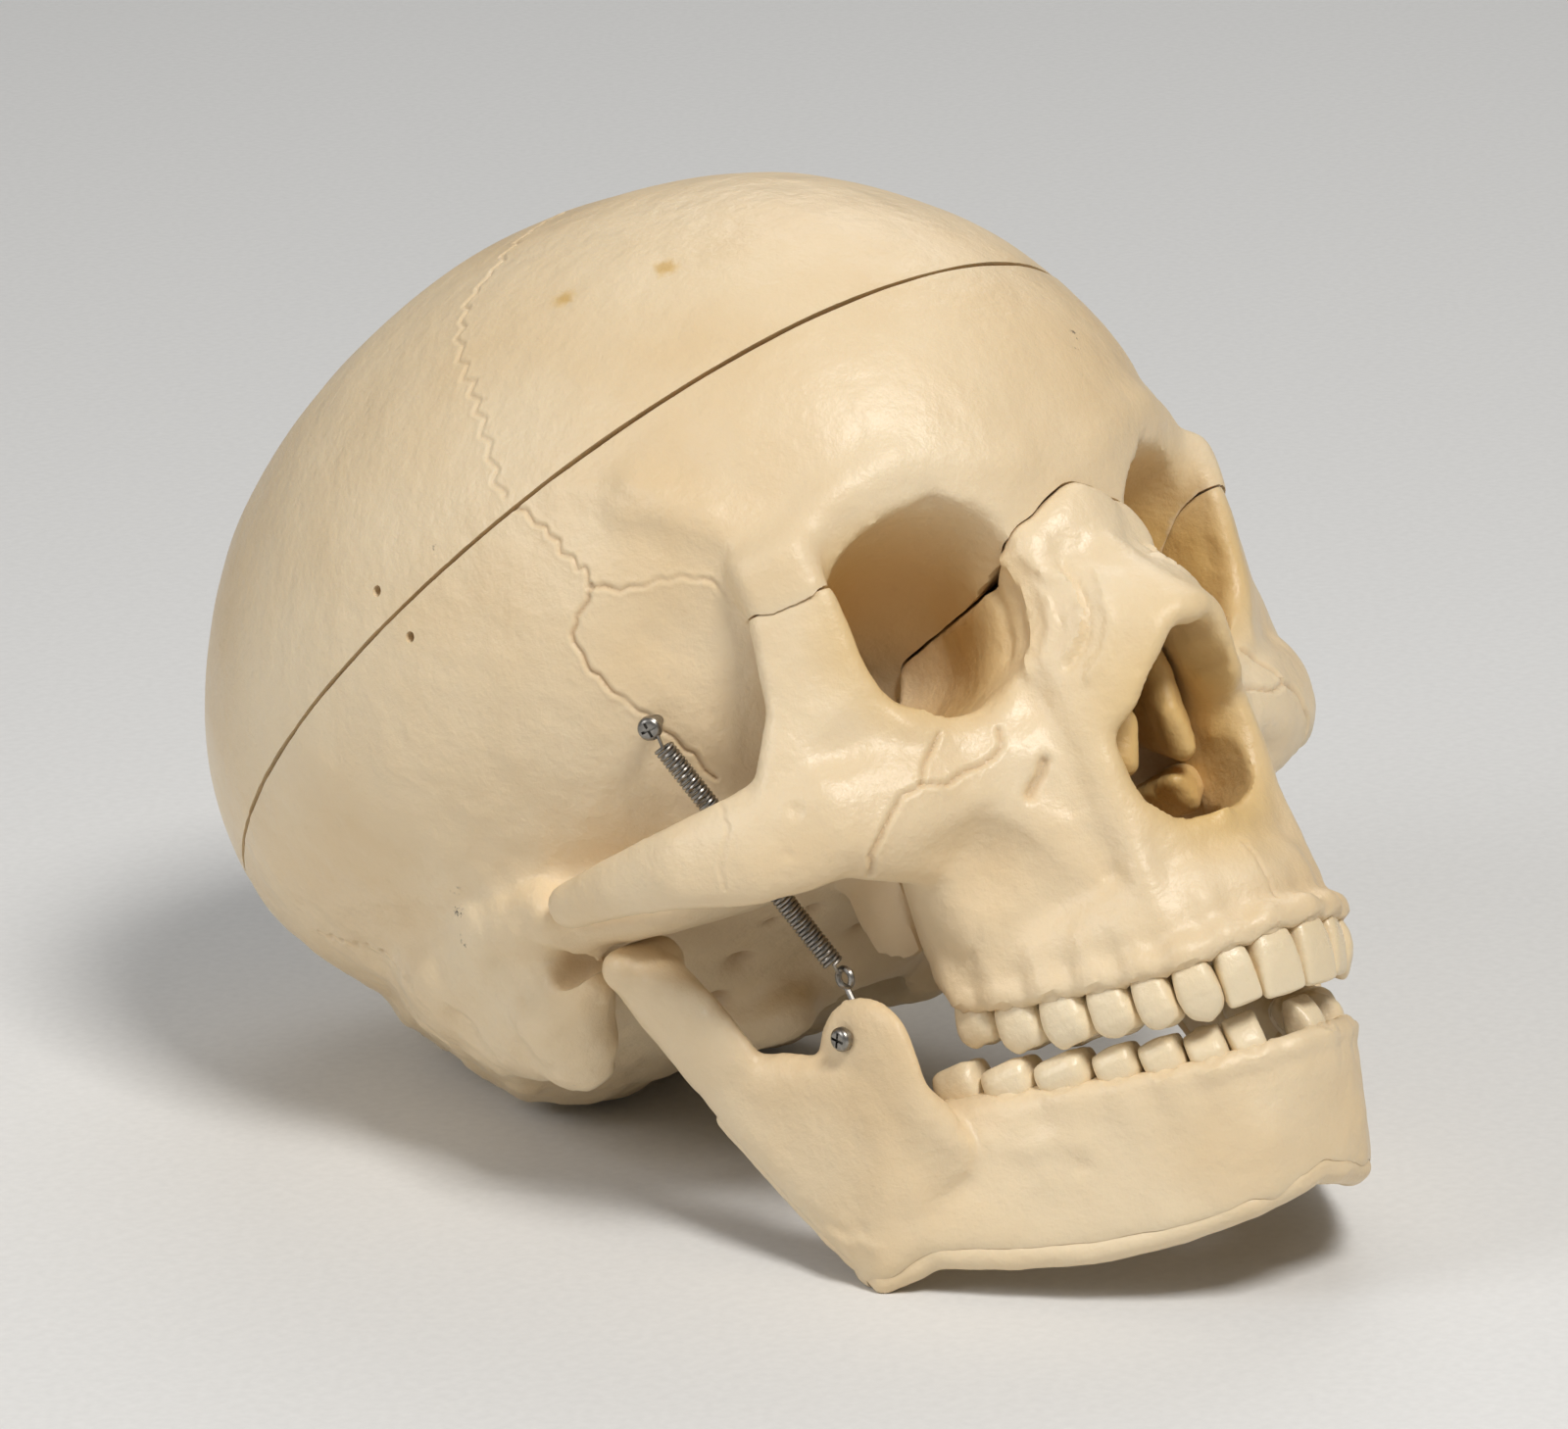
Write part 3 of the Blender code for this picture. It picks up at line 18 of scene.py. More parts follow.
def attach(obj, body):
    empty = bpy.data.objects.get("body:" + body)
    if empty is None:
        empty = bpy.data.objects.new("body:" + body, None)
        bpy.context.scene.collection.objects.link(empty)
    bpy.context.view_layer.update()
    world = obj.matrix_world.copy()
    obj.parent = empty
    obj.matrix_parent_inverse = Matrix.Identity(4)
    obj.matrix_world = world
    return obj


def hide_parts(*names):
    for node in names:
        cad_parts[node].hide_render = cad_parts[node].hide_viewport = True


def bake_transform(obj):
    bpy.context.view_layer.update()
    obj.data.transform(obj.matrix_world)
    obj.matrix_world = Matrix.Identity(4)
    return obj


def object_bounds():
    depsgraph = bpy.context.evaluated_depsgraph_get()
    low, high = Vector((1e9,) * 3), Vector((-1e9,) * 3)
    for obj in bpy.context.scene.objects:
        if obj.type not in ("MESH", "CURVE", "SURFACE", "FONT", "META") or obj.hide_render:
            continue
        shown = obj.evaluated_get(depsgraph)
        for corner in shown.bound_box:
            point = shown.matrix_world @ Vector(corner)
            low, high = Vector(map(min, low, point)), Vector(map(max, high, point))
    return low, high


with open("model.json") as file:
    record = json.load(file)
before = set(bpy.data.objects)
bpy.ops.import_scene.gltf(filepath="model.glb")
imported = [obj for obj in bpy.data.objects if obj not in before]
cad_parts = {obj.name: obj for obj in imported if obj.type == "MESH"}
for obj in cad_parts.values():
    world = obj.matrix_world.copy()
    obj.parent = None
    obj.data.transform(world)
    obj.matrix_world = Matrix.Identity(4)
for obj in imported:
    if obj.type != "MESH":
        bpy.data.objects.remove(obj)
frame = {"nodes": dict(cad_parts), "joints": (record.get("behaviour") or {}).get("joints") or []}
cad_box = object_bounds()
bpy.ops.object.select_all(action="DESELECT")

# Skull base: the lower brain case of cream vinyl, moulded in one with the roofs of the eye
# sockets, the temples, the mastoids and the jaw's sockets.  It rests on the back of its floor.
MM = 0.001
CUT_SLOPE = math.radians(13.9)
CUT_HEIGHT = 47.2
HINGE_PLACE = Vector((0, -10.8, -10.8)) * MM
joints = {joint["name"]: joint for joint in frame["joints"]}
lift_axis = Vector(joints["cap_lift"]["axis"])
stand_turn = Matrix.Rotation(CUT_SLOPE - math.atan2(lift_axis.y, lift_axis.z), 4, "X")
hinge_at_rest = Vector(joints["jaw_hinge"]["pos_m"])
STAND = Matrix.Translation(hinge_at_rest - stand_turn @ HINGE_PLACE) @ stand_turn

VAULT_MIDDLE = (0, 5.1, 36.9)
VAULT_HALVES = (68.0, 87.4, 67.6)
VAULT_TAPER_SHARE = 0.040
VAULT_FLAT_SHARE = 0.80
WALL = 4.2
BASE_VOXEL = 1.2
CUTTER_VOXEL = 1.4
SHELF_HEIGHT = 41.2
SEAM_GAP = 0.45
SWING_GAP = 0.6
JAW_OPENING = math.radians(24)
SWING_STEPS = 4

FOSSA = (
    (30, -22, 20, 25, 23, 22), (0, 38, 20, 55, 44, 29), (0, 8, 28, 50, 50, 22),
)
BASE_CHAIN = {
    "brow": (
        (7, -78.5, 34, 6, 4.2, 4.5), (15.5, -76, 37.5, 5.5, 4.2, 4.2),
        (24.5, -73.2, 39, 5, 4.2, 4.2), (32.5, -68.4, 37.2, 4.6, 4.2, 4.2),
        (39, -63.6, 32.5, 4, 4, 4.5), (41.4, -62.6, 27.2, 3.8, 4, 3),
    ),
    "temporal_line": (
        (39.5, -62, 34, 3.5, 3.5, 5), (45, -56, 41, 3.5, 4, 5), (50, -47, 49, 3, 6, 5),
    ),
    "orbit_wall": ((41.3, -60, 27, 2.6, 3, 3), (37, -52, 22, 4, 5, 12), (33, -44, 16, 5, 5, 16)),
    "mastoid": ((52, 2, -8, 6, 8, 8), (49.5, 8, -15, 6.5, 8, 8.5)),
    "ear_ridge": ((56, 10, 4, 4, 8, 5), (57, -4, 1, 4, 6, 5), (58.5, -7, 0.8, 2.8, 3, 4)),
    "jaw_socket": ((52, -8, -1, 7, 7, 5), (46, -21, -4.5, 10, 5, 4.5), (36, -28, -5, 8, 8, 5)),
    "basilar": ((0, -32, 4, 12, 10, 9), (0, -6, -16, 12, 6, 6), (8, 4, -18, 7, 8, 6)),
    "condyle": ((15, 2, -22, 4.5, 7, 4.5), (18, 14, -19, 5, 8, 5)),
    "pterygoid": ((15, -36, -4, 5), (16, -38, -18, 2, 6, 8), (17, -39, -27, 1.8, 5.5, 5)),
}
BASE_WEB = {
    "mastoid_mass": ((49.5, 9, -14, 6, 8, 8), (45, 24, -8, 8, 10, 9), (55, 14, 1, 4.5, 9, 6)),
    "brow_end": (
        (41.4, -67.4, 32.5, 2.6, 2.6, 3), (46.6, -60.4, 32.5, 2.6, 3, 3),
        (40.9, -67.8, 23.5, 2, 2.2, 1.5), (47, -60.2, 23.5, 2, 2.2, 1.5),
    ),
    "plate_behind_jaw": (
        (22, -31, -12, 1.4, 3, 3), (22.5, -32, -21, 1.2, 3, 2.4),
        (22.5, -38.5, -24, 1.2, 2.4, 2.4), (20, -40, -12, 1.4, 3, 3), (17, -37, -8, 2, 4, 4),
    ),
    "nape": (
        (17, 36, -9.5, 22, 20, 12.5), (0, 62, 10, 34, 18, 20), (44, 20, 4, 14, 22, 16),
        (8, 4, -8, 26, 14, 10),
    ),
}
EYE_SOCKET = (
    (26, -84, 17.5, 15.5, 8, 16.5), (25.5, -66, 17.5, 14.8, 6, 15.2),
    (20, -52, 16.5, 12.5, 6, 11.5), (13.5, -38, 15, 5, 3, 5),
)
FACE_SPACE = (
    ((0, -110, 37.4), (12, -110, 33.2), (36, -110, 18.7), (80, -110, 18.7)),
    ((0, -40, 14.3), (12, -40, 10.1), (36, -40, -4.4), (80, -40, -4.4)),
)
SAW_SPARE = 1.6
DRILL_RADIUS = 0.85


def mirrored(balls):
    """The same balls on the skull's other side."""
    return [(-item[0], *item[1:]) for item in balls]


def unit_sphere(rounds=3):
    """Points spread over a sphere of radius one."""
    sphere = bmesh.new()
    bmesh.ops.create_icosphere(sphere, subdivisions=rounds, radius=1)
    points = np.array([vert.co for vert in sphere.verts])
    sphere.free()
    return points


SPHERE = unit_sphere()


def ball_points(balls, grow=0.0):
    """The points on the surfaces of balls, in metres, each ball grown by one distance."""
    return np.vstack([(np.array(item[:3]) + SPHERE * (np.array(item[3:]) + grow)) * MM
                      for item in balls])


def skin(target, points):
    """Add the tight skin round a cloud of points to an edit mesh."""
    cloud = bmesh.new()
    for point in points:
        cloud.verts.new(point)
    found = bmesh.ops.convex_hull(cloud, input=cloud.verts)
    inner = {item for item in found["geom_interior"] + found["geom_unused"]
             if isinstance(item, bmesh.types.BMVert)}
    bmesh.ops.delete(cloud, geom=list(inner), context="VERTS")
    index = {vert: target.verts.new(vert.co) for vert in cloud.verts}
    for face in cloud.faces:
        target.faces.new([index[vert] for vert in face.verts])
    cloud.free()


def web(target, balls, grow=0.0):
    """One tight skin round all the balls."""
    skin(target, ball_points(balls, grow))


def chain(target, balls, grow=0.0):
    """A skin round each two neighbouring balls."""
    for first, second in zip(balls, balls[1:]):
        web(target, (first, second), grow)


def both_sides(target, make, balls, grow=0.0):
    """Make a form on the left and its mirror image on the right."""
    make(target, balls, grow)
    make(target, mirrored(balls), grow)


def from_form(name, form):
    """Turn an edit mesh into an object, with all faces pointing out."""
    bmesh.ops.recalc_face_normals(form, faces=form.faces)
    mesh = bpy.data.meshes.new(name)
    form.to_mesh(mesh)
    form.free()
    item = bpy.data.objects.new(name, mesh)
    bpy.context.collection.objects.link(item)
    return item


def settle(item):
    """Apply an object's modifiers."""
    bpy.context.view_layer.objects.active = item
    for modifier in list(item.modifiers):
        bpy.ops.object.modifier_apply(modifier=modifier.name)
    return item


def fuse(item, voxel, rounds):
    """Melt the forms of an object into one skin and soften its creases."""
    melt = item.modifiers.new("melt", "REMESH")
    melt.mode = "VOXEL"
    melt.voxel_size = voxel * MM
    if rounds:
        soften = item.modifiers.new("soften", "SMOOTH")
        soften.factor = 0.5
        soften.iterations = rounds
    return settle(item)


def drop(item):
    """Remove an object and its mesh."""
    mesh = item.data
    bpy.data.objects.remove(item)
    bpy.data.meshes.remove(mesh)


def cut(item, cutter, operation="DIFFERENCE"):
    """Cut an object by another, which is then removed."""
    knife = item.modifiers.new("cut", "BOOLEAN")
    knife.operation = operation
    knife.solver = "MANIFOLD"
    knife.object = cutter
    settle(item)
    drop(cutter)
    return item


def swollen(item, gap):
    """A copy of an object whose surface lies a gap further out."""
    copy = item.copy()
    copy.data = item.data.copy()
    bpy.context.collection.objects.link(copy)
    swell = copy.modifiers.new("swell", "DISPLACE")
    swell.strength = gap * MM
    swell.mid_level = 0
    return settle(copy)


def vault_place(direction, inset):
    """The place on the brain case in a direction, moved in by an inset, in metres."""
    wide, deep, tall = (half - inset for half in VAULT_HALVES)
    if direction[2] < 0:
        tall = VAULT_HALVES[2] * VAULT_FLAT_SHARE - inset
    taper = 1 + VAULT_TAPER_SHARE * direction[1]
    return (Vector(VAULT_MIDDLE) + Vector((wide * direction[0] * taper, deep * direction[1],
                                           tall * direction[2]))) * MM


def vault(name, inset, across=128, up=72):
    """The egg of the brain case as a closed ball."""
    form = bmesh.new()
    bmesh.ops.create_uvsphere(form, u_segments=across, v_segments=up, radius=1)
    for vert in form.verts:
        vert.co = vault_place(vert.co, inset)
    return from_form(name, form)


def slab(name, low, high, turn):
    """A box between two corners in millimetres, then turned."""
    form = bmesh.new()
    size = Vector(high) - Vector(low)
    middle = Matrix.Translation((Vector(low) + Vector(high)) / 2 * MM)
    bmesh.ops.create_cube(form, size=MM, matrix=turn @ middle @ Matrix.Diagonal((*size, 1)))
    return from_form(name, form)


def cut_block(name, above, shift):
    """All that lies above or below the saw line of the skull cap."""
    reach = 2 * VAULT_HALVES[1]
    low = (-reach, -reach, shift if above else -reach)
    high = (reach, reach, reach if above else shift)
    turn = Matrix.Translation((0, 0, CUT_HEIGHT * MM)) @ Matrix.Rotation(-CUT_SLOPE, 4, "X")
    return slab(name, low, high, turn)


def rod(name, start, end, radius, sides=24):
    """A round cutter from one place to another, in millimetres."""
    form = bmesh.new()
    start, end = Vector(start) * MM, Vector(end) * MM
    turn = Vector((0, 0, 1)).rotation_difference(end - start).to_matrix().to_4x4()
    bmesh.ops.create_cone(form, cap_ends=True, segments=sides, radius1=radius * MM,
                          radius2=radius * MM, depth=(end - start).length,
                          matrix=Matrix.Translation((start + end) / 2) @ turn)
    return from_form(name, form)


def places_of(item):
    """The places and the outward directions of a mesh's corners, in millimetres."""
    mesh = item.data
    places = np.empty(len(mesh.vertices) * 3)
    mesh.vertices.foreach_get("co", places)
    ways = np.empty(len(mesh.vertices) * 3)
    mesh.vertices.foreach_get("normal", ways)
    return places.reshape(-1, 3) / MM, ways.reshape(-1, 3)


def put_places(item, places):
    """Move a mesh's corners to new places, given in millimetres."""
    item.data.vertices.foreach_set("co", (places * MM).ravel())
    item.data.update()


def paint(item, layer, shares):
    """Keep a number for each corner of a mesh, which the materials read by name."""
    found = item.data.attributes.get(layer)
    if found is None:
        found = item.data.attributes.new(layer, "FLOAT", "POINT")
    old = np.empty(len(item.data.vertices), np.float32)
    found.data.foreach_get("value", old)
    found.data.foreach_set("value", np.maximum(old, shares.astype(np.float32)))


def tree_of(item):
    """A search tree over an object's faces."""
    graph = bpy.context.evaluated_depsgraph_get()
    return BVHTree.FromObject(item, graph)


LINE_STEP = 0.3
KNOT_DRIFT = 0.15
LEAST_SWAY = 0.35


def laid_line(tree, points, sway, pitch, seed):
    """A close row of places along a surface, swaying to both sides of a rough path."""
    path = np.array(points, float)
    run = np.concatenate(([0], np.cumsum(np.linalg.norm(np.diff(path, axis=0), axis=1))))
    along = np.linspace(0, run[-1], int(run[-1] / LINE_STEP) + 2)
    rows = np.stack([np.interp(along, run, path[:, axis]) for axis in range(3)], 1)
    draw = np.random.default_rng(seed)
    knots = np.arange(0, run[-1] + pitch, pitch / 2)
    knots = knots + draw.uniform(-KNOT_DRIFT, KNOT_DRIFT, len(knots)) * pitch
    swing = draw.uniform(LEAST_SWAY, 1, len(knots)) * sway * (-1) ** np.arange(len(knots))
    shifts = np.interp(along, knots, swing)
    ways = np.gradient(rows, axis=0)
    line = []
    for place, way, shift in zip(rows, ways, shifts):
        found, up, _, _ = tree.find_nearest(Vector(place) * MM)
        if found is None:
            continue
        side = Vector(way).cross(up).normalized()
        found = tree.find_nearest(found + side * shift * MM)[0]
        line.append(np.array(found) / MM)
    return np.array(line)


def both_lines(tree, points, sway, pitch, left_seed, right_seed):
    """A line along a path on the left, and one along its mirror image on the right."""
    return [laid_line(tree, [(side * x, y, z) for x, y, z in points], sway, pitch, seed)
            for side, seed in ((1, left_seed), (-1, right_seed))]


def seam_lines(tree, rows, seed):
    """The lines of a table on both sides, each with its width, depth, lips and shade."""
    return [(line, *looks) for count, (points, sway, pitch, *looks) in enumerate(rows)
            for line in both_lines(tree, points, sway, pitch, seed + count * 2 + 1,
                                   seed + count * 2)]


MOST_GAPS = 4000000


def distance_to(places, line, reach):
    """The distance of each place from a row of places, or twice the reach where that is less."""
    far = np.full(len(places), reach * 2.0)
    near = np.all((places > line.min(axis=0) - reach) & (places < line.max(axis=0) + reach), axis=1)
    index = np.nonzero(near)[0]
    for part in np.array_split(index, max(1, len(index) * len(line) // MOST_GAPS)):
        gaps = np.linalg.norm(places[part][:, None] - line[None], axis=2).min(axis=1)
        far[part] = np.minimum(gaps, reach * 2.0)
    return far


def refine(item, lines, reach, rounds=1):
    """Halve the edges of a mesh that lie close to any of the lines."""
    for _ in range(rounds):
        places, _ = places_of(item)
        near = np.zeros(len(places), bool)
        for line in lines:
            near |= distance_to(places, line, reach) < reach
        form = bmesh.new()
        form.from_mesh(item.data)
        form.verts.ensure_lookup_table()
        edges = [edge for edge in form.edges
                 if near[edge.verts[0].index] and near[edge.verts[1].index]]
        bmesh.ops.subdivide_edges(form, edges=edges, cuts=1, use_grid_fill=True)
        bmesh.ops.triangulate(form, faces=[face for face in form.faces if len(face.verts) > 4])
        form.to_mesh(item.data)
        form.free()


SCORE_REACH_SHARE = 5
LIP_PLACE_SHARE = 2.2
SHADE_WIDTH_SHARE = 0.8


def score(item, line, width, depth, lip=0.0, shade=0.0):
    """Press a groove along a line, with raised lips, and keep its shade.  A minus depth is a ridge."""
    places, ways = places_of(item)
    reach = width * SCORE_REACH_SHARE
    gaps = distance_to(places, line, reach)
    groove = np.exp(-(gaps / width) ** 2)
    rim = np.exp(-((gaps - LIP_PLACE_SHARE * width) / width) ** 2)
    places += ways * (lip * rim - depth * groove)[:, None] * (gaps < reach)[:, None]
    put_places(item, places)
    if shade:
        paint(item, "groove", shade * np.exp(-(gaps / (width * SHADE_WIDTH_SHARE)) ** 2))


def score_all(item, lines):
    """Score each line of a list that holds its width, depth, lips and shade."""
    for line, *looks in lines:
        score(item, line, *looks)


def score_ridges(item, tree, rows, seed):
    """Press or raise the swells of a table on both sides."""
    for count, (points, sway, pitch, width, depth) in enumerate(rows):
        for line in both_lines(tree, points, sway, pitch, seed + count, seed + count):
            score(item, line, width, depth)


def dent(item, tree, marks, shade=0.0):
    """Press round dents into a surface: place, reach and depth of each.  A minus depth is a lump.  A
    shade darkens the dents as painted shade.
    """
    places, ways = places_of(item)
    for x, y, z, reach, depth in marks:
        for side in (1, -1) if x else (1,):
            middle = np.array(tree.find_nearest(Vector((side * x, y, z)) * MM)[0]) / MM
            fall = np.exp(-(np.linalg.norm(places - middle, axis=1) / reach) ** 2)
            places -= ways * (depth * fall)[:, None]
            if shade:
                paint(item, "groove", shade * fall ** 2)
    put_places(item, places)


def ripple(places, size, seed):
    """Soft random heights between about -1 and 1, for bumps of about one size."""
    return np.array([noise.noise(place) for place in (places / size + seed).tolist()])


def waves(places, rows):
    """Soft unevenness: ripples added up, each with its size, seed and height."""
    return sum(ripple(places, size, seed) * height for size, seed, height in rows)


# Middle and half sizes of the eye sockets and the nose, and how far out the painted amber glow in them
# runs
GLOW_HOLLOWS = ((26, -62, 17, 15, 20, 15), (0, -78, -10, 14, 22, 19))
HOLLOW_EDGE = 1.35
HOLLOW_FADE = 0.6


def paint_glow_in_hollows(item):
    """Keep how deep each corner lies in an eye socket or in the nose, for a painted amber glow of light
    there.
    """
    places, _ = places_of(item)
    places = np.abs(places * (1, 0, 0)) + places * (0, 1, 1)
    depth = np.zeros(len(places))
    for hollow in GLOW_HOLLOWS:
        reach = np.linalg.norm((places - hollow[:3]) / hollow[3:], axis=1)
        depth = np.maximum(depth, np.clip((HOLLOW_EDGE - reach) / HOLLOW_FADE, 0, 1))
    paint(item, "hollow", depth)


# Places on the left side in millimetres, then how far and how often the line sways, its width,
# depth, the height of its lips and how dark it is
BASE_LINES = (
    (((57.3, -31, 58), (57.3, -36.6, 50.7), (57.4, -38.6, 46), (57, -40.6, 42), (56.4, -40.7, 39.9)),
     0.7, 3.4, 0.34, 0.34, 0.07, 0.35),
    (((56.4, -40.7, 39.9), (54.7, -43.9, 37.7), (53.1, -47, 36.8), (51.4, -49.8, 36.4),
      (49.7, -52.1, 35.4), (48.2, -54.1, 34.1), (47.2, -55.3, 32.5), (46.4, -55.9, 29.9),
      (45.3, -56.7, 27.8), (44.4, -57.5, 26.3)), 0.35, 4.0, 0.38, 0.45, 0.10, 0.45),
    (((56.4, -40.7, 39.9), (58, -37.3, 36.8), (58.7, -35.4, 34.9), (58.5, -35.3, 31.8),
      (58.2, -35.4, 29.5), (56.8, -36.3, 25.7), (55.3, -37.4, 22.4), (54, -38.2, 20.3),
      (51.4, -38.6, 16.4), (48.9, -38.9, 12.5), (45.9, -37.9, 8.6)), 0.35, 4.4, 0.38, 0.45, 0.09, 0.60),
    (((53, 47, 16.5), (57, 36, 6), (57, 28, 0)), 0.9, 3.0, 0.34, 0.32, 0.06, 0.25),
    (((44, 62, 29), (49, 54, 22), (53, 47, 16.5)), 1.0, 3.0, 0.34, 0.32, 0.06, 0.25),
)
BASE_RIDGES = (
    (((2, 76, 5), (18, 72, 4), (32, 62, 3), (44, 46, 1), (52, 28, -3)), 1.5, 12, 2.4, -0.55),
    (((2, 60, -10), (16, 56, -11), (30, 44, -13), (40, 30, -14)), 1.5, 10, 2.2, -0.5),
    (((0.5, 76, 4), (0.5, 60, -10), (0.5, 42, -18)), 0.8, 8, 2.0, -0.6),
    (((44, 20, -16), (45, 10, -20), (44, 2, -20)), 0.5, 8, 1.8, 1.6),
    (((47, -52, 45), (52, -40, 53), (57, -22, 60)), 1.5, 14, 1.8, -0.30),
    (((61, -8, 6), (63, 6, 9), (61, 20, 14)), 1.0, 12, 2.6, -0.5),
)
BASE_DENTS = (
    (50, -47, 27, 8.5, 1.6), (52, -42, 31, 5, 0.4), (44, -47, 16, 8, 0.8), (55, 8, -13, 4.5, -0.8),
    (51, 2, -19, 4, -0.7), (56, 1, -8, 4, 0.5), (57, 14, -6, 5, 0.5), (53, 14, -14, 3.2, 0.5),
    (49, 12, -21, 3.2, -0.5), (58, 22, -2, 6, -0.5), (60, 12, 10, 3, -0.4), (59, 26, 8, 5, 0.4),
    (0, 77, 5, 6, -1.4), (20, 66, -4, 9, 0.7), (17, -79, 44, 12, -0.5), (0, -79, 40, 9, 0.4),
    (28, -70, 50, 12, -0.5), (21, -75.5, 33.5, 2.2, 0.9), (62, -14, 20, 12, 0.3),
    (62, 8, 34, 14, -0.3),
)
BASE_HOLES = (
    (21, -20, -8, 1.6, 1.8), (26, -16, -9, 1.1, 1.5), (24, -4, -12, 2.4, 1.9),
    (22, 6, -13, 2.2, 1.8), (47, 4, -14, 1.2, 1.3), (20, 16, -17, 1.8, 1.4),
    (9, -14, -10, 1.8, 1.0),
)
# Size, seed and height of each ripple, over all of the base and behind and below the ears
BASE_WAVES = ((9.0, 3.1, 0.42), (3.2, 7.7, 0.24))
REAR_LUMPS = ((2.2, 1.3, 0.30), (4.5, 5.9, 0.60), (8.0, 9.4, 1.15))
SMUDGES = ((-59.6, 8.5, 10.9, 0.9), (-59.2, 10.6, 7.9, 1.2), (-59.7, 11.3, 3.5, 1.0),
           (-51.4, 8.9, -21.8, 0.8), (16.2, -77.4, 50.8, 1.4), (14.4, -78.8, 48.9, 0.9))

form = bmesh.new()
egg = vault("egg", 0)
form.from_mesh(egg.data)
drop(egg)
for balls in BASE_CHAIN.values():
    both_sides(form, chain, balls)
for balls in BASE_WEB.values():
    both_sides(form, web, balls)
base = fuse(from_form("skull_base_piece", form), BASE_VOXEL, 14)


def seam_block(name, edge, lower_by):
    """The room in front of the base, from its seam with the face down or up to a level."""
    space = bmesh.new()
    for side in (1, -1):
        for first in range(3):
            corners = [Vector((side * row[at][0], row[at][1], row[at][2] - lower_by)) * MM
                       for row in FACE_SPACE for at in (first, first + 1)]
            skin(space, corners + [Vector((corner.x, corner.y, edge * MM)) for corner in corners])
    return fuse(from_form(name, space), CUTTER_VOXEL, 1)


cut(base, seam_block("face_space", -VAULT_HALVES[2], 0))
sockets = bmesh.new()
both_sides(sockets, chain, EYE_SOCKET)
cut(base, fuse(from_form("eye_sockets", sockets), CUTTER_VOXEL, 9))
hollow = bmesh.new()
dome = [vault_place(point, WALL) for point in SPHERE]
skin(hollow, [point for point in dome if point.z > SHELF_HEIGHT * MM])
for fossa in FOSSA:
    both_sides(hollow, web, (fossa,))
hollow = fuse(from_form("brain_hollow", hollow), CUTTER_VOXEL, 10)
cut(base, cut(hollow, vault("brain_wall", WALL), "INTERSECT"))
cut(base, cut_block("above_cut", True, SAW_SPARE))
NECK_OPENING = (0, 13, -20)
neck = rod("neck_opening", (0, 13, -50), (0, 13, 10), 1, 48)
for vert in neck.data.vertices:
    vert.co.x = vert.co.x * 13.5
    vert.co.y = NECK_OPENING[1] * MM + (vert.co.y - NECK_OPENING[1] * MM) * 16.5
cut(base, neck)
for side in (1, -1):
    cut(base, rod("ear_opening", (side * 49, -3, -6.5), (side * 67, -3, -6.5), 3.0))
fuse(base, BASE_VOXEL, 2)

base_tree = tree_of(base)
scored = seam_lines(base_tree, BASE_LINES, 0)
refine(base, [item[0] for item in scored], 2.2, 2)
places, ways = places_of(base)
temple = np.exp(-((np.abs(places[:, 0]) - 58) / 14) ** 2 - ((places[:, 2] - 12) / 24) ** 2)
rear = np.exp(-((places[:, 2] + 10) / 22) ** 2) * np.clip((places[:, 1] + 16) / 12, 0, 1)
radius = np.linalg.norm((places - VAULT_MIDDLE) / VAULT_HALVES, axis=1)
outside = np.clip((radius - 0.90) / 0.05, 0, 1)
uneven = waves(places, BASE_WAVES) * (0.35 + 0.5 * temple + rear)
uneven += waves(places, REAR_LUMPS) * rear * 0.9
put_places(base, places + ways * (uneven * outside)[:, None])
dent(base, base_tree, BASE_DENTS)
# Painted shade darkens the holes in the base
dent(base, base_tree, BASE_HOLES, 0.8)
score_ridges(base, base_tree, BASE_RIDGES, 40)
score_all(base, scored)
cut(base, cut_block("saw_cut", True, 0))
for side in (1, -1):
    cut(base, rod("pin_hole", (side * 60, -10.1, 45.4), (side * 70, -10.1, 45.4), DRILL_RADIUS))
paint_glow_in_hollows(base)


def smudge(item, spots):
    """Keep where old ink and glue specks lie on a surface."""
    places, _ = places_of(item)
    for x, y, z, reach in spots:
        paint(item, "smudge", np.exp(-(np.linalg.norm(places - (x, y, z), axis=1) / reach) ** 2))


smudge(base, SMUDGES)


def node(tree, kind, place, **settings):
    """A shader node at a place, with its inputs or properties set."""
    made = tree.nodes.new(kind)
    made.location = place
    for key, value in settings.items():
        if hasattr(made, key):
            setattr(made, key, value)
        else:
            made.inputs[key.replace("_", " ")].default_value = value
    return made


def blended(tree, place, share, first, second):
    """A colour mixed from two others by a share, each a link or a plain colour."""
    mix = node(tree, "ShaderNodeMix", place, data_type="RGBA", clamp_factor=True)
    for socket, value in ((mix.inputs[0], share), (mix.inputs[6], first), (mix.inputs[7], second)):
        if isinstance(value, bpy.types.NodeSocket):
            tree.links.new(value, socket)
        else:
            socket.default_value = value
    return mix.outputs[2]


def banded(tree, place, value, low, high, start=0.0, end=1.0):
    """A value spread over a new range and held to it."""
    band = node(tree, "ShaderNodeMapRange", place, clamp=True)
    band.inputs["From Min"].default_value = low
    band.inputs["From Max"].default_value = high
    band.inputs["To Min"].default_value = start
    band.inputs["To Max"].default_value = end
    tree.links.new(value, band.inputs["Value"])
    return band.outputs["Result"]


STAIN = (0.70, 0.53, 0.31, 1)
AMBER_GLOW_AND_STAIN = (0.72, 0.47, 0.15, 1)
SCUFF = (0.48, 0.36, 0.22, 1)
GROOVE_AND_SHADE_BROWN = (0.36, 0.19, 0.07, 1)
INK = (0.06, 0.05, 0.045, 1)


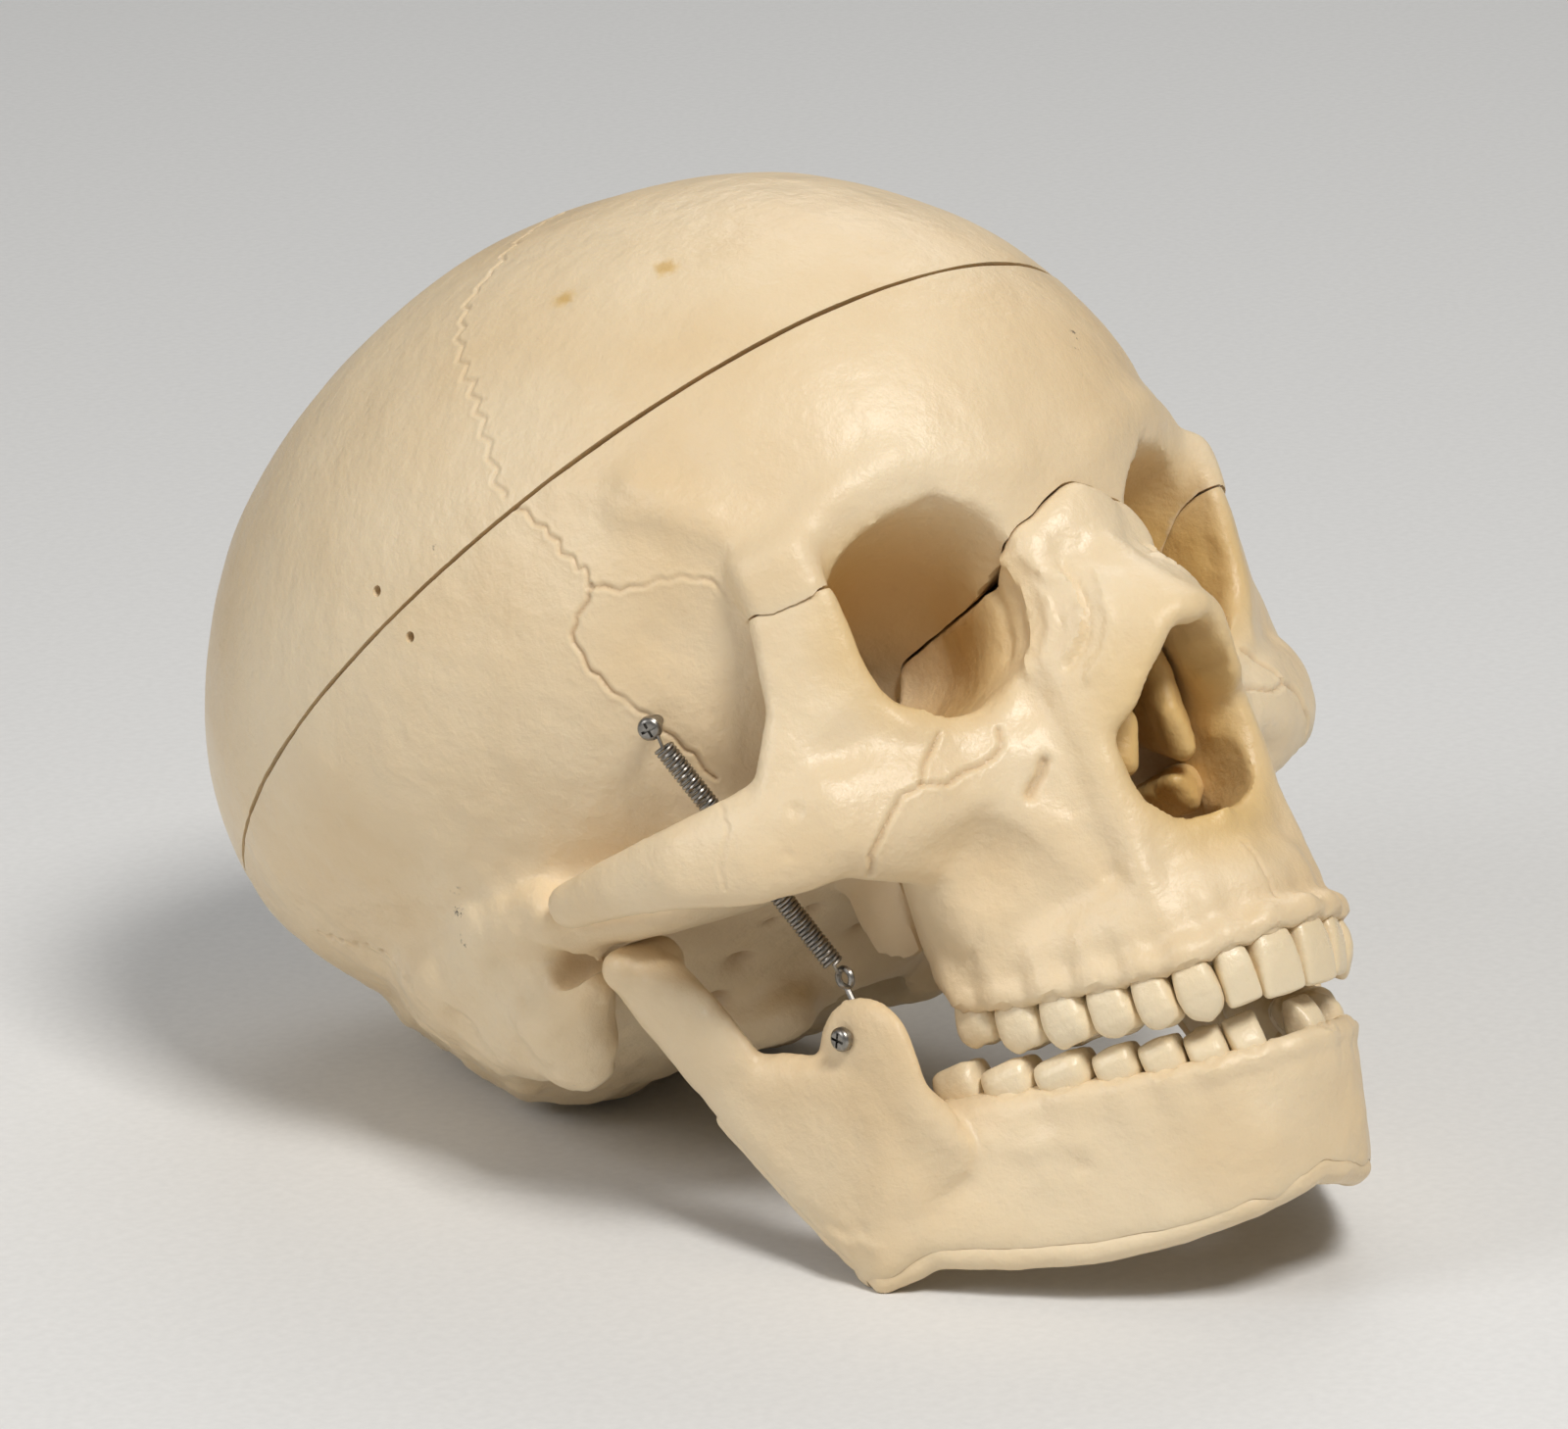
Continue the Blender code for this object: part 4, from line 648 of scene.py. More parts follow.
def bone_finish(name, pale, deep, shine):
    """Cast cream vinyl: clouded colour, painted amber glow in the hollows, dark grooves, painted shade,
    specks and a waxy skin.
    """
    finish = bpy.data.materials.new(name)
    finish.use_nodes = True
    tree = finish.node_tree
    shader = tree.nodes["Principled BSDF"]
    where = node(tree, "ShaderNodeTexCoord", (-1800, 0)).outputs["Object"]

    def noise_at(place, scale, detail, rough=0.5):
        made = node(tree, "ShaderNodeTexNoise", place, Scale=scale, Detail=detail, Roughness=rough)
        tree.links.new(where, made.inputs["Vector"])
        return made.outputs["Fac"]

    def layer(place, word):
        return node(tree, "ShaderNodeAttribute", place, attribute_name=word).outputs["Fac"]

    clouds = banded(tree, (-1300, 400), noise_at((-1500, 400), 26, 4), 0.35, 0.68)
    colour = blended(tree, (-1100, 400), clouds, (*pale, 1), (*deep, 1))
    patches = banded(tree, (-1300, 100), noise_at((-1500, 100), 11, 3), 0.52, 0.74, 0, 0.30)
    colour = blended(tree, (-900, 300), patches, colour, STAIN)
    # The hollow layer paints an amber glow of light in the eye sockets and the nose, and amber stains
    # on the cap
    glow_and_stain = banded(tree, (-1300, -100), layer((-1500, -100), "hollow"), 0, 1, 0, 0.80)
    colour = blended(tree, (-700, 200), glow_and_stain, colour, AMBER_GLOW_AND_STAIN)
    scuffs = banded(tree, (-1300, -300), noise_at((-1500, -300), 340, 6, 0.75), 0.60, 0.78, 0, 0.16)
    colour = blended(tree, (-500, 100), scuffs, colour, SCUFF)
    # The groove layer darkens the seams, paints shade into holes, slits and gum lines, and marks brown
    # stains on the cap
    groove = banded(tree, (-1300, -500), layer((-1500, -500), "groove"), 0, 1, 0, 0.85)
    colour = blended(tree, (-300, 0), groove, colour, GROOVE_AND_SHADE_BROWN)
    speck = node(tree, "ShaderNodeMath", (-1100, -700), operation="MULTIPLY")
    tree.links.new(banded(tree, (-1300, -700), noise_at((-1500, -700), 900, 3, 0.7), 0.53, 0.60),
                   speck.inputs[0])
    tree.links.new(banded(tree, (-1300, -900), layer((-1500, -900), "smudge"), 0.25, 0.7),
                   speck.inputs[1])
    colour = blended(tree, (-100, -100), speck.outputs[0], colour, INK)
    tree.links.new(colour, shader.inputs["Base Color"])
    rough = banded(tree, (-300, -300), noise_at((-500, -300), 70, 5, 0.6), 0.35, 0.70,
                   shine - 0.06, shine + 0.12)
    tree.links.new(rough, shader.inputs["Roughness"])
    height = node(tree, "ShaderNodeMath", (-500, -600), operation="ADD")
    tree.links.new(banded(tree, (-700, -600), noise_at((-900, -600), 560, 5, 0.65), 0, 1, 0, 0.45),
                   height.inputs[0])
    tree.links.new(noise_at((-900, -900), 210, 4), height.inputs[1])
    bump = node(tree, "ShaderNodeBump", (-300, -600), Strength=0.60, Distance=0.0007)
    tree.links.new(height.outputs[0], bump.inputs["Height"])
    tree.links.new(bump.outputs["Normal"], shader.inputs["Normal"])
    shader.inputs["Specular IOR Level"].default_value = 0.5
    shader.inputs["IOR"].default_value = 1.47
    shader.inputs["Subsurface Weight"].default_value = 0.10
    shader.inputs["Subsurface Radius"].default_value = (1.0, 0.72, 0.40)
    shader.inputs["Subsurface Scale"].default_value = 0.0022
    return finish


PALE_VINYL = (0.850, 0.695, 0.470)
DEEP_VINYL = (0.775, 0.590, 0.355)
bone = bone_finish("cream_vinyl", PALE_VINYL, DEEP_VINYL, 0.37)
bone_pieces = [base]
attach(base, "skull")
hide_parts("skull_base")

# Skull cap: the sawn-off lid of the brain case, cast in the same vinyl as a thin shell.  It lifts
# off along the saw line, and its coronal seam runs on from the one on the base.
CAP_VOXEL = 1.25
CAP_LIFT = 0.75
CAP_LINES = (
    (((0.3, -13, 103), (14, -14, 101.5), (29.4, -16.4, 95.5), (37.2, -16.1, 91), (44.2, -19.3, 84.6),
      (50.5, -24.9, 75.6), (54.1, -27.8, 68.9), (57.3, -31, 58)), 1.2, 4.4, 0.36, 0.28, 0.07, 0.16),
    (((0.3, 87, 60), (12, 85.5, 57), (20, 83, 50), (30, 77, 44), (36, 72, 38), (44, 62, 29)),
     1.5, 3.0, 0.34, 0.32, 0.07, 0.22),
)
CAP_WAVES = ((26, 2.0, 0.5), (7, 4.2, 0.08))
MIDDLE_LINE = ((0, -13, 103), (0, 20, 103.4), (0, 50, 94.5), (0, 72, 80), (0, 87, 60))
cap = vault("skull_cap_piece", 0, 160, 96)
cut(cap, vault("cap_hollow", WALL))
cut(cap, cut_block("below_cut", False, CAP_LIFT - SAW_SPARE))
fuse(cap, CAP_VOXEL, 2)
cap_tree = tree_of(cap)
scored = [(laid_line(cap_tree, MIDDLE_LINE, 1.2, 3.2, 71), 0.34, 0.30, 0.07, 0.20)]
scored += seam_lines(cap_tree, CAP_LINES, 60)
refine(cap, [item[0] for item in scored], 2.0, 2)
places, ways = places_of(cap)
radius = np.linalg.norm((places - VAULT_MIDDLE) / VAULT_HALVES, axis=1)
outside = np.clip((radius - 0.94) / 0.03, 0, 1)
put_places(cap, places + ways * (waves(places, CAP_WAVES) * outside)[:, None])
score_all(cap, scored)
cut(cap, cut_block("saw_cut", False, CAP_LIFT))
for side in (1, -1):
    cut(cap, rod("pin_hole", (side * 58, -5.5, 54.2), (side * 72, -5.5, 54.2), DRILL_RADIUS))
paint_glow_in_hollows(cap)
smudge(cap, ((-62, -17.8, 55.2, 0.8),))
places, _ = places_of(cap)
for spot in ((-36.6, -35.9, 83.5), (-27.8, -49.2, 81.1)):
    near = np.linalg.norm(places - spot, axis=1) + ripple(places, 1.1, 3.3) * 0.8
    paint(cap, "hollow", np.clip(2.1 - near, 0, 1))
    paint(cap, "groove", np.clip(1.4 - near, 0, 0.20))
bone_pieces.append(cap)
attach(cap, "cap")
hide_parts("skull_cap")

# Face: one moulding of both cheekbones with their arches, the upper jaw, the nose and the floors
# of the eye sockets.  It is pushed into the base from the front, and a dark slit shows round it.
FACE_VOXEL = 0.78
FACE_CHAIN = {
    "nose_ridge": (
        (0, -80.8, 26, 3.8, 3.4, 3.2), (0, -81.6, 19, 3.8, 3.3, 4), (0, -86.4, 12, 4.4, 3.4, 3.5),
        (0, -93.8, 4.8, 5.2, 3, 2.6),
    ),
    "nose_flank": ((8.5, -78, 22, 4), (12.5, -77.5, 9, 4, 4.5, 5), (14.3, -79, -6, 3.2, 4.5, 6)),
    "nose_base": ((14.3, -79, -8, 3, 5, 6), (14, -78, -18, 4, 5.5, 6), (8, -80, -25, 5, 4.5, 4)),
    "nose_spine": ((9, -80, -25.5, 5, 4.5, 4), (0, -82, -25.5, 4, 4.2, 3.2)),
    "eye_rim": (
        (38.4, -65.4, 9, 2.4, 2.8, 3), (34.8, -66.6, 3.2, 2.8, 3.2, 3.2),
        (29, -67.6, -1.2, 3.2, 3.4, 3.2), (22.5, -70, -2, 3, 3.4, 3.2),
        (16.5, -72.8, 2, 3, 3.4, 3.4), (13, -74, 9, 3, 3.2, 3.6), (10.5, -74.5, 18, 2.8, 3, 4),
    ),
    "arch": (
        (47.2, -58, -4.5, 4.8, 6.2, 9.5), (56.2, -49, -4.6, 3.5, 4.8, 8.3),
        (61, -39.5, -2.8, 3, 5, 6.2), (62.3, -28, -1.2, 2.6, 5, 4.8), (61.5, -16, 0, 2.4, 4, 3.8),
        (60, -12.6, 0.5, 2.6, 2, 3),
    ),
    "gum_row": (
        (25.4, -49.5, -30, 5, 4.4, 5.4), (24, -57, -31.2, 5, 4.4, 6.4),
        (21.6, -64.5, -32.6, 5, 4.4, 7.2), (18.8, -71.5, -34, 4.8, 4.4, 7.6),
        (14.6, -78, -35, 4.8, 4.4, 7.8), (8.4, -82.6, -35.4, 4.6, 4.2, 7.8),
        (0, -84.4, -35.2, 4.4, 4.2, 7.8),
    ),
    "gum_roll": (
        (28.4, -50.4, -34.3, 2.2), (27.5, -57.6, -36.5, 2.2), (25.5, -64.9, -38.3, 2.2),
        (22.7, -71.6, -39.9, 2.2), (19.6, -77.4, -41, 2.2), (15.9, -82.9, -41.8, 2.2),
        (10.6, -86.7, -41.5, 2.2), (4, -89, -41.2, 2.2), (0, -89.2, -41, 2.2),
    ),
    "spine_tip": ((0, -81, -24.4, 2.6, 2.6, 2), (0, -85.4, -23.5, 1.2, 1.6, 1.2)),
    "canine_ridge": ((13.5, -79.8, -20, 3.2, 3.4, 5), (14.8, -79.8, -33, 3, 3.2, 6)),
}
FACE_WEB = {
    "eye_wall": (
        (39.8, -66, 24.5, 1.8, 2, 1.4), (38.4, -65, 8, 1.8, 2, 2), (37.6, -55, 24, 1.6, 2, 1.6),
        (36.2, -55, 9, 1.6, 2, 1.6),
    ),
    "process_top": (
        (40.5, -68, 25.4, 1.9, 1.9, 1.5), (46.7, -60.2, 25.4, 1.9, 1.9, 1.5),
        (39.2, -66.9, 12, 1.9, 1.9, 2), (48.4, -58.6, 12, 1.9, 1.9, 2),
    ),
    "process_middle": (
        (39.2, -66.9, 12, 1.9, 1.9, 2), (48.4, -58.6, 12, 1.9, 1.9, 2), (35.8, -66.2, 4, 2.2),
        (52.4, -54.8, 2, 2.2, 2.4, 2.2),
    ),
    "process_foot": (
        (35.8, -66.2, 4, 2.2), (52.4, -54.8, 2, 2.2, 2.4, 2.2), (30.5, -67.4, -2, 2.6, 2.8, 2.6),
        (47.4, -57.8, -8, 3.6, 5, 5),
    ),
    "nose_root": (
        (0, -81.4, 26.9, 2, 2.5, 2.6), (4.2, -80.2, 24.8, 3, 3.2, 3),
        (9.6, -76.6, 20.6, 3, 3.2, 3), (11.6, -76.2, 14, 3, 3.4, 4), (0, -81.6, 18, 4, 3.4, 4),
    ),
    "nose_side": (
        (4.5, -87, 11, 2.4, 2.4, 3), (5.5, -93, 3.5, 1.8, 2, 2.2),
        (11, -86.5, -4.5, 1.6, 2.2, 2.4), (12.5, -77, 9, 3.5, 4, 4), (14.3, -79, -6, 3, 4.5, 4),
        (9, -77, 18, 3, 3.2, 4),
    ),
    "cheek": (
        (46.5, -58.5, -5, 4.4, 6.2, 9), (36, -65, -4, 5, 4.5, 6), (27, -67.5, -8, 6, 5, 7),
        (39.5, -58.5, -11.5, 4, 5, 4.5), (29.5, -61, -12, 7, 6, 8),
    ),
    "upper_jaw": (
        (15, -73.5, -6, 4, 6, 7), (29, -65.5, -6, 5), (16.5, -71.5, -24, 5, 5.5, 6),
        (26.5, -57, -24, 5, 7, 7), (25.5, -50, -25, 4.5, 5, 7), (30.5, -59, -10, 6, 6, 5),
    ),
    "palate": (
        (0, -78, -29.5, 3, 4, 2), (16, -72, -30, 2, 3, 2), (20, -52, -29, 2, 3, 2),
        (0, -50, -28, 3, 3, 2),
    ),
    "eye_inner": (
        (12, -72, 8, 1.6, 2, 1.6), (10.5, -72, 17.5, 1.5, 2, 1.6), (8.5, -44, 15, 1.5, 1.6, 1.6),
        (12, -44, 8, 1.6),
    ),
    "nose_roof": (
        (0, -75, 20.5, 2, 2, 1.6), (10.5, -71, 17, 1.6, 2, 1.6), (0, -44, 19, 2, 1.6, 1.6),
        (8.5, -44, 14, 1.6),
    ),
    "nose_wall": (
        (14, -72, 6, 1.8, 2, 2), (14, -44, 6, 1.8, 2, 2), (17, -46, -24, 2), (17, -70, -24, 2),
    ),
}
EYE_CUP = (
    (25.2, -84, 17.5, 13.2, 8, 16), (25.2, -66, 17.5, 13, 6, 15), (20, -53, 16.5, 12, 6, 11.5),
    (15, -45, 15.2, 5.6, 2.4, 5.6),
)
EYE_CUP_WALL = 2.2
EYE_SLIT = 0.6
BROW_SEAM = ((30, -85, 25.5), (60, -45, 45))
NOSE_HOLLOW = (
    (0, -100, -1, 4.2, 12, 3.6), (0, -100, -11.5, 11.3, 18, 7.5), (0, -96, -17.5, 9, 15, 4.4),
    (0, -70, -20, 12, 6, 5), (0, -46, -18, 12, 10, 7), (0, -46, 2, 9, 10, 8), (0, -72, 2, 7, 6, 6),
)
FACE_LINES = (
    (((23.4, -73.2, -1.6), (24.4, -73.4, -3.7), (26.2, -72.7, -5.2), (29.7, -71.4, -5.5),
      (34.1, -70.1, -6.5), (37.7, -68.8, -5.5), (40.9, -67.2, -6.2), (42.4, -66.2, -7.6),
      (43.6, -65.4, -9.2), (45, -63.7, -10.8), (45.7, -62.4, -12.3), (44.5, -59.5, -14.2)),
     0.14, 5.0, 0.44, 0.60, 0.16, 0.30),
    (((31.6, -69.9, 0.7), (34, -69.4, -1.2), (36.3, -69.2, -3.2), (37.6, -68.8, -5.3)),
     0.12, 5.0, 0.40, 0.50, 0.12, 0.25),
    (((57.5, -49.9, 3.4), (58.5, -50.8, -0.1), (59.2, -50.5, -2.5), (60, -49, -4.4),
      (60.3, -47.8, -6.4), (59.9, -47.3, -8.6)), 0.3, 3.4, 0.34, 0.16, 0.06, 0.08),
)
# The slanted slit below each eye socket, which gets painted shade
CHEEK_SLIT = ((20.2, -76.1, -8.3), (21.7, -75.6, -10.2), (23.4, -74.7, -12.0))
FACE_RIDGES = (
    (((8.0, -81.5, 17.0), (8.6, -84.0, 13.4), (10.2, -85.6, 9.6), (12.0, -85.2, 6.2),
      (14.8, -82.5, 3.2)), 0.2, 6, 0.75, 0.65),
    (((10.2, -82.6, 16.7), (9.8, -84.1, 13.9), (10.8, -85.1, 10.1), (12.3, -84.4, 7.1),
      (14.4, -82.2, 4.8)), 0.2, 6, 0.65, -0.60),
    (((6.4, -85.9, 15.0), (8.0, -87.8, 11.4), (9.4, -88.6, 7.0), (11.6, -87.4, 3.0),
      (14.2, -84.6, 0.4)), 0.2, 6, 0.75, -0.60),
    (((11.6, -80.4, 17.2), (12.0, -82.0, 13.2), (13.2, -82.4, 9.4), (15.2, -80.6, 6.4)),
     0.2, 6, 0.75, 0.60),
    (((12.6, -76, 22), (14.2, -77.4, 17.6), (15.2, -77.6, 13.4), (16.4, -77.6, 8.8),
      (17.2, -76.6, 4.6)), 0.4, 5, 1.00, -0.85),
    (((11.6, -71.5, 18), (12.8, -72, 13), (13.8, -71.5, 8)), 0.3, 5, 1.0, 0.6),
    (((26.5, -60, -17), (25, -58, -24), (24, -55.6, -28)), 0.3, 5, 0.5, 0.5),
)
FACE_DENTS = (
    (28.5, -67.5, -19, 7.5, 3.5), (22.2, -75.3, -11.8, 3.0, 0.7), (24, -72, -28, 6, 0.7),
    (50, -57, -3, 1.0, 0.7), (52, -54, -7, 0.8, 0.5), (36, -66, -9.5, 5, -0.5),
    (47, -58.5, -11, 4, 0.4), (20, -77, -16, 1.2, 0.3), (31, -69.5, -12, 1.0, 0.3),
    (12, -50, -31, 1.4, 1.2), (0, -74, -31, 1.5, 1.2), (44, -61, 4, 3, 0.3),
)
FACE_WAVES = ((5.5, 8.8, 0.22), (2.0, 2.9, 0.07))
cups = bmesh.new()
both_sides(cups, chain, EYE_CUP[1:], EYE_CUP_WALL)
cups = fuse(from_form("eye_cups", cups), CUTTER_VOXEL, 1)
cut(cups, seam_block("brow_space", VAULT_HALVES[2], EYE_SLIT))
form = bmesh.new()
form.from_mesh(cups.data)
drop(cups)
for balls in FACE_CHAIN.values():
    both_sides(form, chain, balls)
for balls in FACE_WEB.values():
    both_sides(form, web, balls)
face = fuse(from_form("face_piece", form), FACE_VOXEL, 15)
nose = bmesh.new()
both_sides(nose, chain, NOSE_HOLLOW[:3])
for balls in (NOSE_HOLLOW[1:5], NOSE_HOLLOW[3:], NOSE_HOLLOW[1::5]):
    both_sides(nose, web, balls)
cut(face, fuse(from_form("nose_hollow", nose), CUTTER_VOXEL, 7))
bowls = bmesh.new()
both_sides(bowls, chain, EYE_CUP)
cut(face, fuse(from_form("eye_bowls", bowls), CUTTER_VOXEL, 9))
fuse(face, FACE_VOXEL, 1)
low, high = BROW_SEAM
cut(face, slab("left_brow_seam", low, high, Matrix()))
cut(face, slab("right_brow_seam", (-high[0], *low[1:]), (-low[0], *high[1:]), Matrix()))
cut(base, swollen(face, SEAM_GAP))

face_tree = tree_of(face)
scored = seam_lines(face_tree, FACE_LINES, 100)
for points, wide in ((((0, -87.4, -30), (0, -88, -34), (0, -88, -39)), 0.36),
                     (((0, -84, -31), (0, -70, -31), (0, -52, -31)), 0.45)):
    scored.append((laid_line(face_tree, points, 0.2, 3.6, 120), wide, 0.22, 0.06, 0.12))
slits = both_lines(face_tree, CHEEK_SLIT, 0.05, 5, 160, 160)
refine(face, [item[0] for item in scored] + slits, 1.8, 1)
places, ways = places_of(face)
front = np.clip((-places[:, 1] - 45) / 15, 0, 1)
soft = waves(places, FACE_WAVES) * (0.5 + 0.5 * front)
put_places(face, places + ways * soft[:, None])
dent(face, face_tree, FACE_DENTS)
# Painted shade darkens the small hole in the front of the palate
dent(face, face_tree, ((0.001, -75, -31, 1.0, 0.4),), 0.7)
score_ridges(face, face_tree, FACE_RIDGES, 140)
score_all(face, scored)
# Each slit below an eye socket gets painted shade
for line in both_lines(tree_of(face), CHEEK_SLIT, 0.05, 5, 160, 160):
    score(face, line, 0.80, 1.25, 0.1, 0.25)
paint_glow_in_hollows(face)
bone_pieces.append(face)
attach(face, "skull")
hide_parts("face")

# Septum and shells inside the nose: five thin cast pieces that are glued in behind the opening.
SEPTUM = (
    (0, -67, -22, 0.9, 1.4, 3), (0, -52, -24, 0.9, 1.4, 3), (0, -52, 5, 0.9, 1.4, 3),
    (0, -69, 3, 0.9, 1.4, 2),
)
CONCHA = {
    "upper": (
        (6.6, -77, 2, 1.8, 2.4, 2), (4.4, -78.2, -6, 1.6, 2, 2), (6, -76.5, -12, 1.8, 2.2, 1.8),
        (9.6, -74, -8, 1.6, 2, 2), (11.5, -66, -3, 3, 5, 6),
    ),
    "lower": (
        (6, -72.4, -15.6, 1.5, 1.7, 1.4), (8.6, -71, -19, 1.6, 2, 1.5), (9, -58, -16, 2.6, 4, 3),
        (12.8, -67, -15, 2.6, 4.4, 2.6),
    ),
}
INSIDE_VOXEL = 0.5
form = bmesh.new()
web(form, SEPTUM)
septum = fuse(from_form("nasal_septum_piece", form), INSIDE_VOXEL, 2)
inside_pieces = [(septum, "nasal_septum")]
for level, balls in CONCHA.items():
    for side, forms in (("left", balls), ("right", mirrored(balls))):
        form = bmesh.new()
        web(form, forms)
        shell = fuse(from_form(f"nasal_shell_{level}_{side}_piece", form), INSIDE_VOXEL, 4)
        inside_pieces.append((shell, f"nasal_shell_{level}_{side}"))
for count, (piece, twin) in enumerate(inside_pieces):
    places, ways = places_of(piece)
    places += ways * (ripple(places, 2.6, count * 1.7) * (0.22 if count else 0.12))[:, None]
    put_places(piece, places)
    paint_glow_in_hollows(piece)
    bone_pieces.append(piece)
    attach(piece, "skull")
    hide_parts(twin)

# Lower jaw: one hollow casting with both rami, the gum row and the chin, hung in the base by its
# two condyles.
JAW_VOXEL = 0.72
JAW_CHAIN = {
    "neck": (
        (49, -11.5, -12, 6, 4.6, 3.6), (48, -14.4, -20, 3.2, 7.6, 4),
        (46.8, -17.2, -29, 3.1, 7.8, 4.5),
    ),
    "condyle": ((44.5, -10.8, -10.8, 3, 4, 4), (53.4, -11.4, -10.6, 2.4, 3.3, 3.3)),
    "coronoid": ((41.6, -41.4, -36.6, 2.8, 9.6, 8.6), (41.4, -40, -44, 2.9, 10.5, 6)),
    "gum_roll": (
        (31.3, -44.7, -49.9, 2), (28.8, -52.2, -51.7, 2), (25.6, -60.1, -53.7, 2),
        (21.3, -66.9, -55.4, 2), (17.8, -72.6, -56.8, 2), (13.8, -77.8, -57.9, 2),
        (8.7, -81.6, -58.4, 2), (3.1, -83.7, -58.5, 2), (0, -83.9, -58.5, 2),
    ),
    "chin": ((8, -72.2, -70.5, 3.6, 4, 5), (0, -74.2, -69.5, 5, 4, 6)),
}
JAW_WEB = {
    "coronoid_foot": (
        (41.4, -36, -43, 2.8, 8, 5), (40.6, -44, -46.5, 2.6, 6, 5), (36.4, -43.5, -54, 3.2, 5, 5),
        (40.4, -33, -57, 3, 6, 5),
    ),
    "ramus": (
        (46.3, -16.2, -31.5, 3, 5.6, 4), (45.3, -20.5, -44, 3, 5, 4), (44, -26.5, -56, 3, 4.6, 4),
        (43, -30, -63.6, 3.4, 5, 4.5), (40, -36, -61.5, 3.6, 4, 4.5), (38, -41, -50, 3.4, 4, 4),
        (41.6, -41, -42, 3, 6, 4), (44, -27, -36, 3, 4, 5),
    ),
}
JAW_GUM = (
    (36, -40.5, -50, 3.6, 4, 4), (31, -45, -51, 4.4, 4, 4), (27.4, -51, -52.6, 4.4, 4, 4),
    (23.6, -58.5, -55, 4.4, 4, 4), (19.2, -65.8, -57.6, 4.2, 4, 4), (14.6, -72.2, -59.6, 4),
    (10, -77, -60.8, 3.6, 3.8, 4), (5, -80, -61.2, 3.6, 3.6, 4), (0, -81.2, -61.2, 3.6, 3.4, 4),
)
JAW_BORDER = (
    (40, -33.5, -62, 3.6, 4.6, 5), (35.4, -39.5, -64.5, 4, 4.4, 5),
    (29.6, -46.6, -68, 4.2, 4.4, 5), (24, -54, -71, 4.2, 4.4, 5), (18.4, -61.8, -73, 4.2, 4.4, 5),
    (13, -68.6, -73.8, 4.2, 4.2, 5), (8.4, -72.6, -74, 4.2, 4, 4.8), (4, -74, -73.4, 4.2, 4, 4.6),
    (0, -74.4, -72.6, 4.2, 4, 4.4),
)
GONION = (43, -29, -64.5, 3.5, 5, 4)
JAW_DENTS = (
    (25.5, -58, -63, 1.4, 0.5), (0, -80, -66, 6, 0.5), (40, -34, -52, 8, -0.4),
    (44, -24, -44, 7, 0.35), (43, -29, -64, 4, 0.5), (40, -40, -56, 4, -0.4),
    (10, -78, -70, 4, -0.5), (34, -44, -58, 4, 0.35), (46, -20, -36, 4, 0.25),
    (36, -26, -50, 1.6, 1.2), (47, -27, -62, 3, -0.3),
)
JAW_RIDGES = (
    (((41, -44, -44), (38, -48, -52), (33, -53, -57), (27, -60, -60)), 0.5, 10, 1.8, -0.45),
    (((46, -24, -56), (46.5, -28, -60), (46, -33, -62)), 0.8, 5, 0.9, -0.35),
    (((46.5, -22, -52), (46.5, -26, -57), (46, -31, -60)), 0.8, 5, 0.8, 0.30),
)
form = bmesh.new()
for balls in JAW_CHAIN.values():
    both_sides(form, chain, balls)
for balls in JAW_WEB.values():
    both_sides(form, web, balls)
both_sides(form, web, (GONION, JAW_BORDER[0]))
for first in range(len(JAW_GUM) - 1):
    both_sides(form, web, JAW_GUM[first:first + 2] + JAW_BORDER[first:first + 2])
jaw = fuse(from_form("lower_jaw_piece", form), JAW_VOXEL, 10)
room = bmesh.new()
hinge_place = np.array(HINGE_PLACE)
for side in (1, -1):
    for step in range(SWING_STEPS + 1):
        swing = np.array(Matrix.Rotation(JAW_OPENING * step / SWING_STEPS, 3, "X"))
        for balls in (JAW_CHAIN["condyle"], JAW_CHAIN["neck"][:2], JAW_CHAIN["neck"][1:]):
            balls = balls if side > 0 else mirrored(balls)
            swept = (ball_points(balls, SWING_GAP) - hinge_place) @ swing.T + hinge_place
            skin(room, swept)
cut(base, fuse(from_form("jaw_sockets", room), CUTTER_VOXEL, 1))

jaw_tree = tree_of(jaw)
places, ways = places_of(jaw)
places += ways * (ripple(places, 7.0, 4.4) * 0.22 + ripple(places, 2.4, 6.1) * 0.06)[:, None]
put_places(jaw, places)
dent(jaw, jaw_tree, JAW_DENTS)
for count, (points, sway, pitch, width, depth) in enumerate(JAW_RIDGES):
    for side in (1, -1):
        path = [(side * x, y, z) for x, y, z in points]
        score(jaw, laid_line(jaw_tree, path, sway, pitch, 180 + count), width, depth)
bone_pieces.append(jaw)
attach(jaw, "jaw")
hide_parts("lower_jaw")

# Border strip: the long closing strip that is glued along the jaw's whole lower border, with a
# thin raised seam where it meets the jaw.
STRIP_VOXEL = 0.55
STRIP_GAP = 0.08
JAW_STRIP = (
    (46, -12.8, -36, 1.6), (44.8, -17.7, -47, 1.8), (43.8, -23.4, -58.5, 2),
    (43, -29, -66.8, 2.4, 2.6, 2.4), (38.8, -36, -66.2, 2.4, 2.6, 2.4), (32.6, -44.4, -70.6, 2.4),
    (25.6, -53.6, -74.6, 2.6, 2.4, 2.2), (18, -63.6, -76.6, 2.8, 2.4, 2.2),
    (10.6, -71.6, -77, 3, 2.6, 2.2), (4, -74.4, -76.2, 3, 2.8, 2.2), (0, -74.8, -75.4, 3, 3, 2.2),
)
form = bmesh.new()
both_sides(form, chain, JAW_STRIP)
strip = fuse(from_form("jaw_border_strip_piece", form), STRIP_VOXEL, 4)
cut(jaw, swollen(strip, STRIP_GAP))
places, ways = places_of(strip)
gonial = np.exp(-((places[:, 1] + 30) / 7) ** 2)
places += ways * (ripple(places, 3.0, 9.3) * (0.10 + 0.30 * gonial))[:, None]
put_places(strip, places)
bone_pieces.append(strip)
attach(strip, "jaw")
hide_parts("jaw_border_strip")

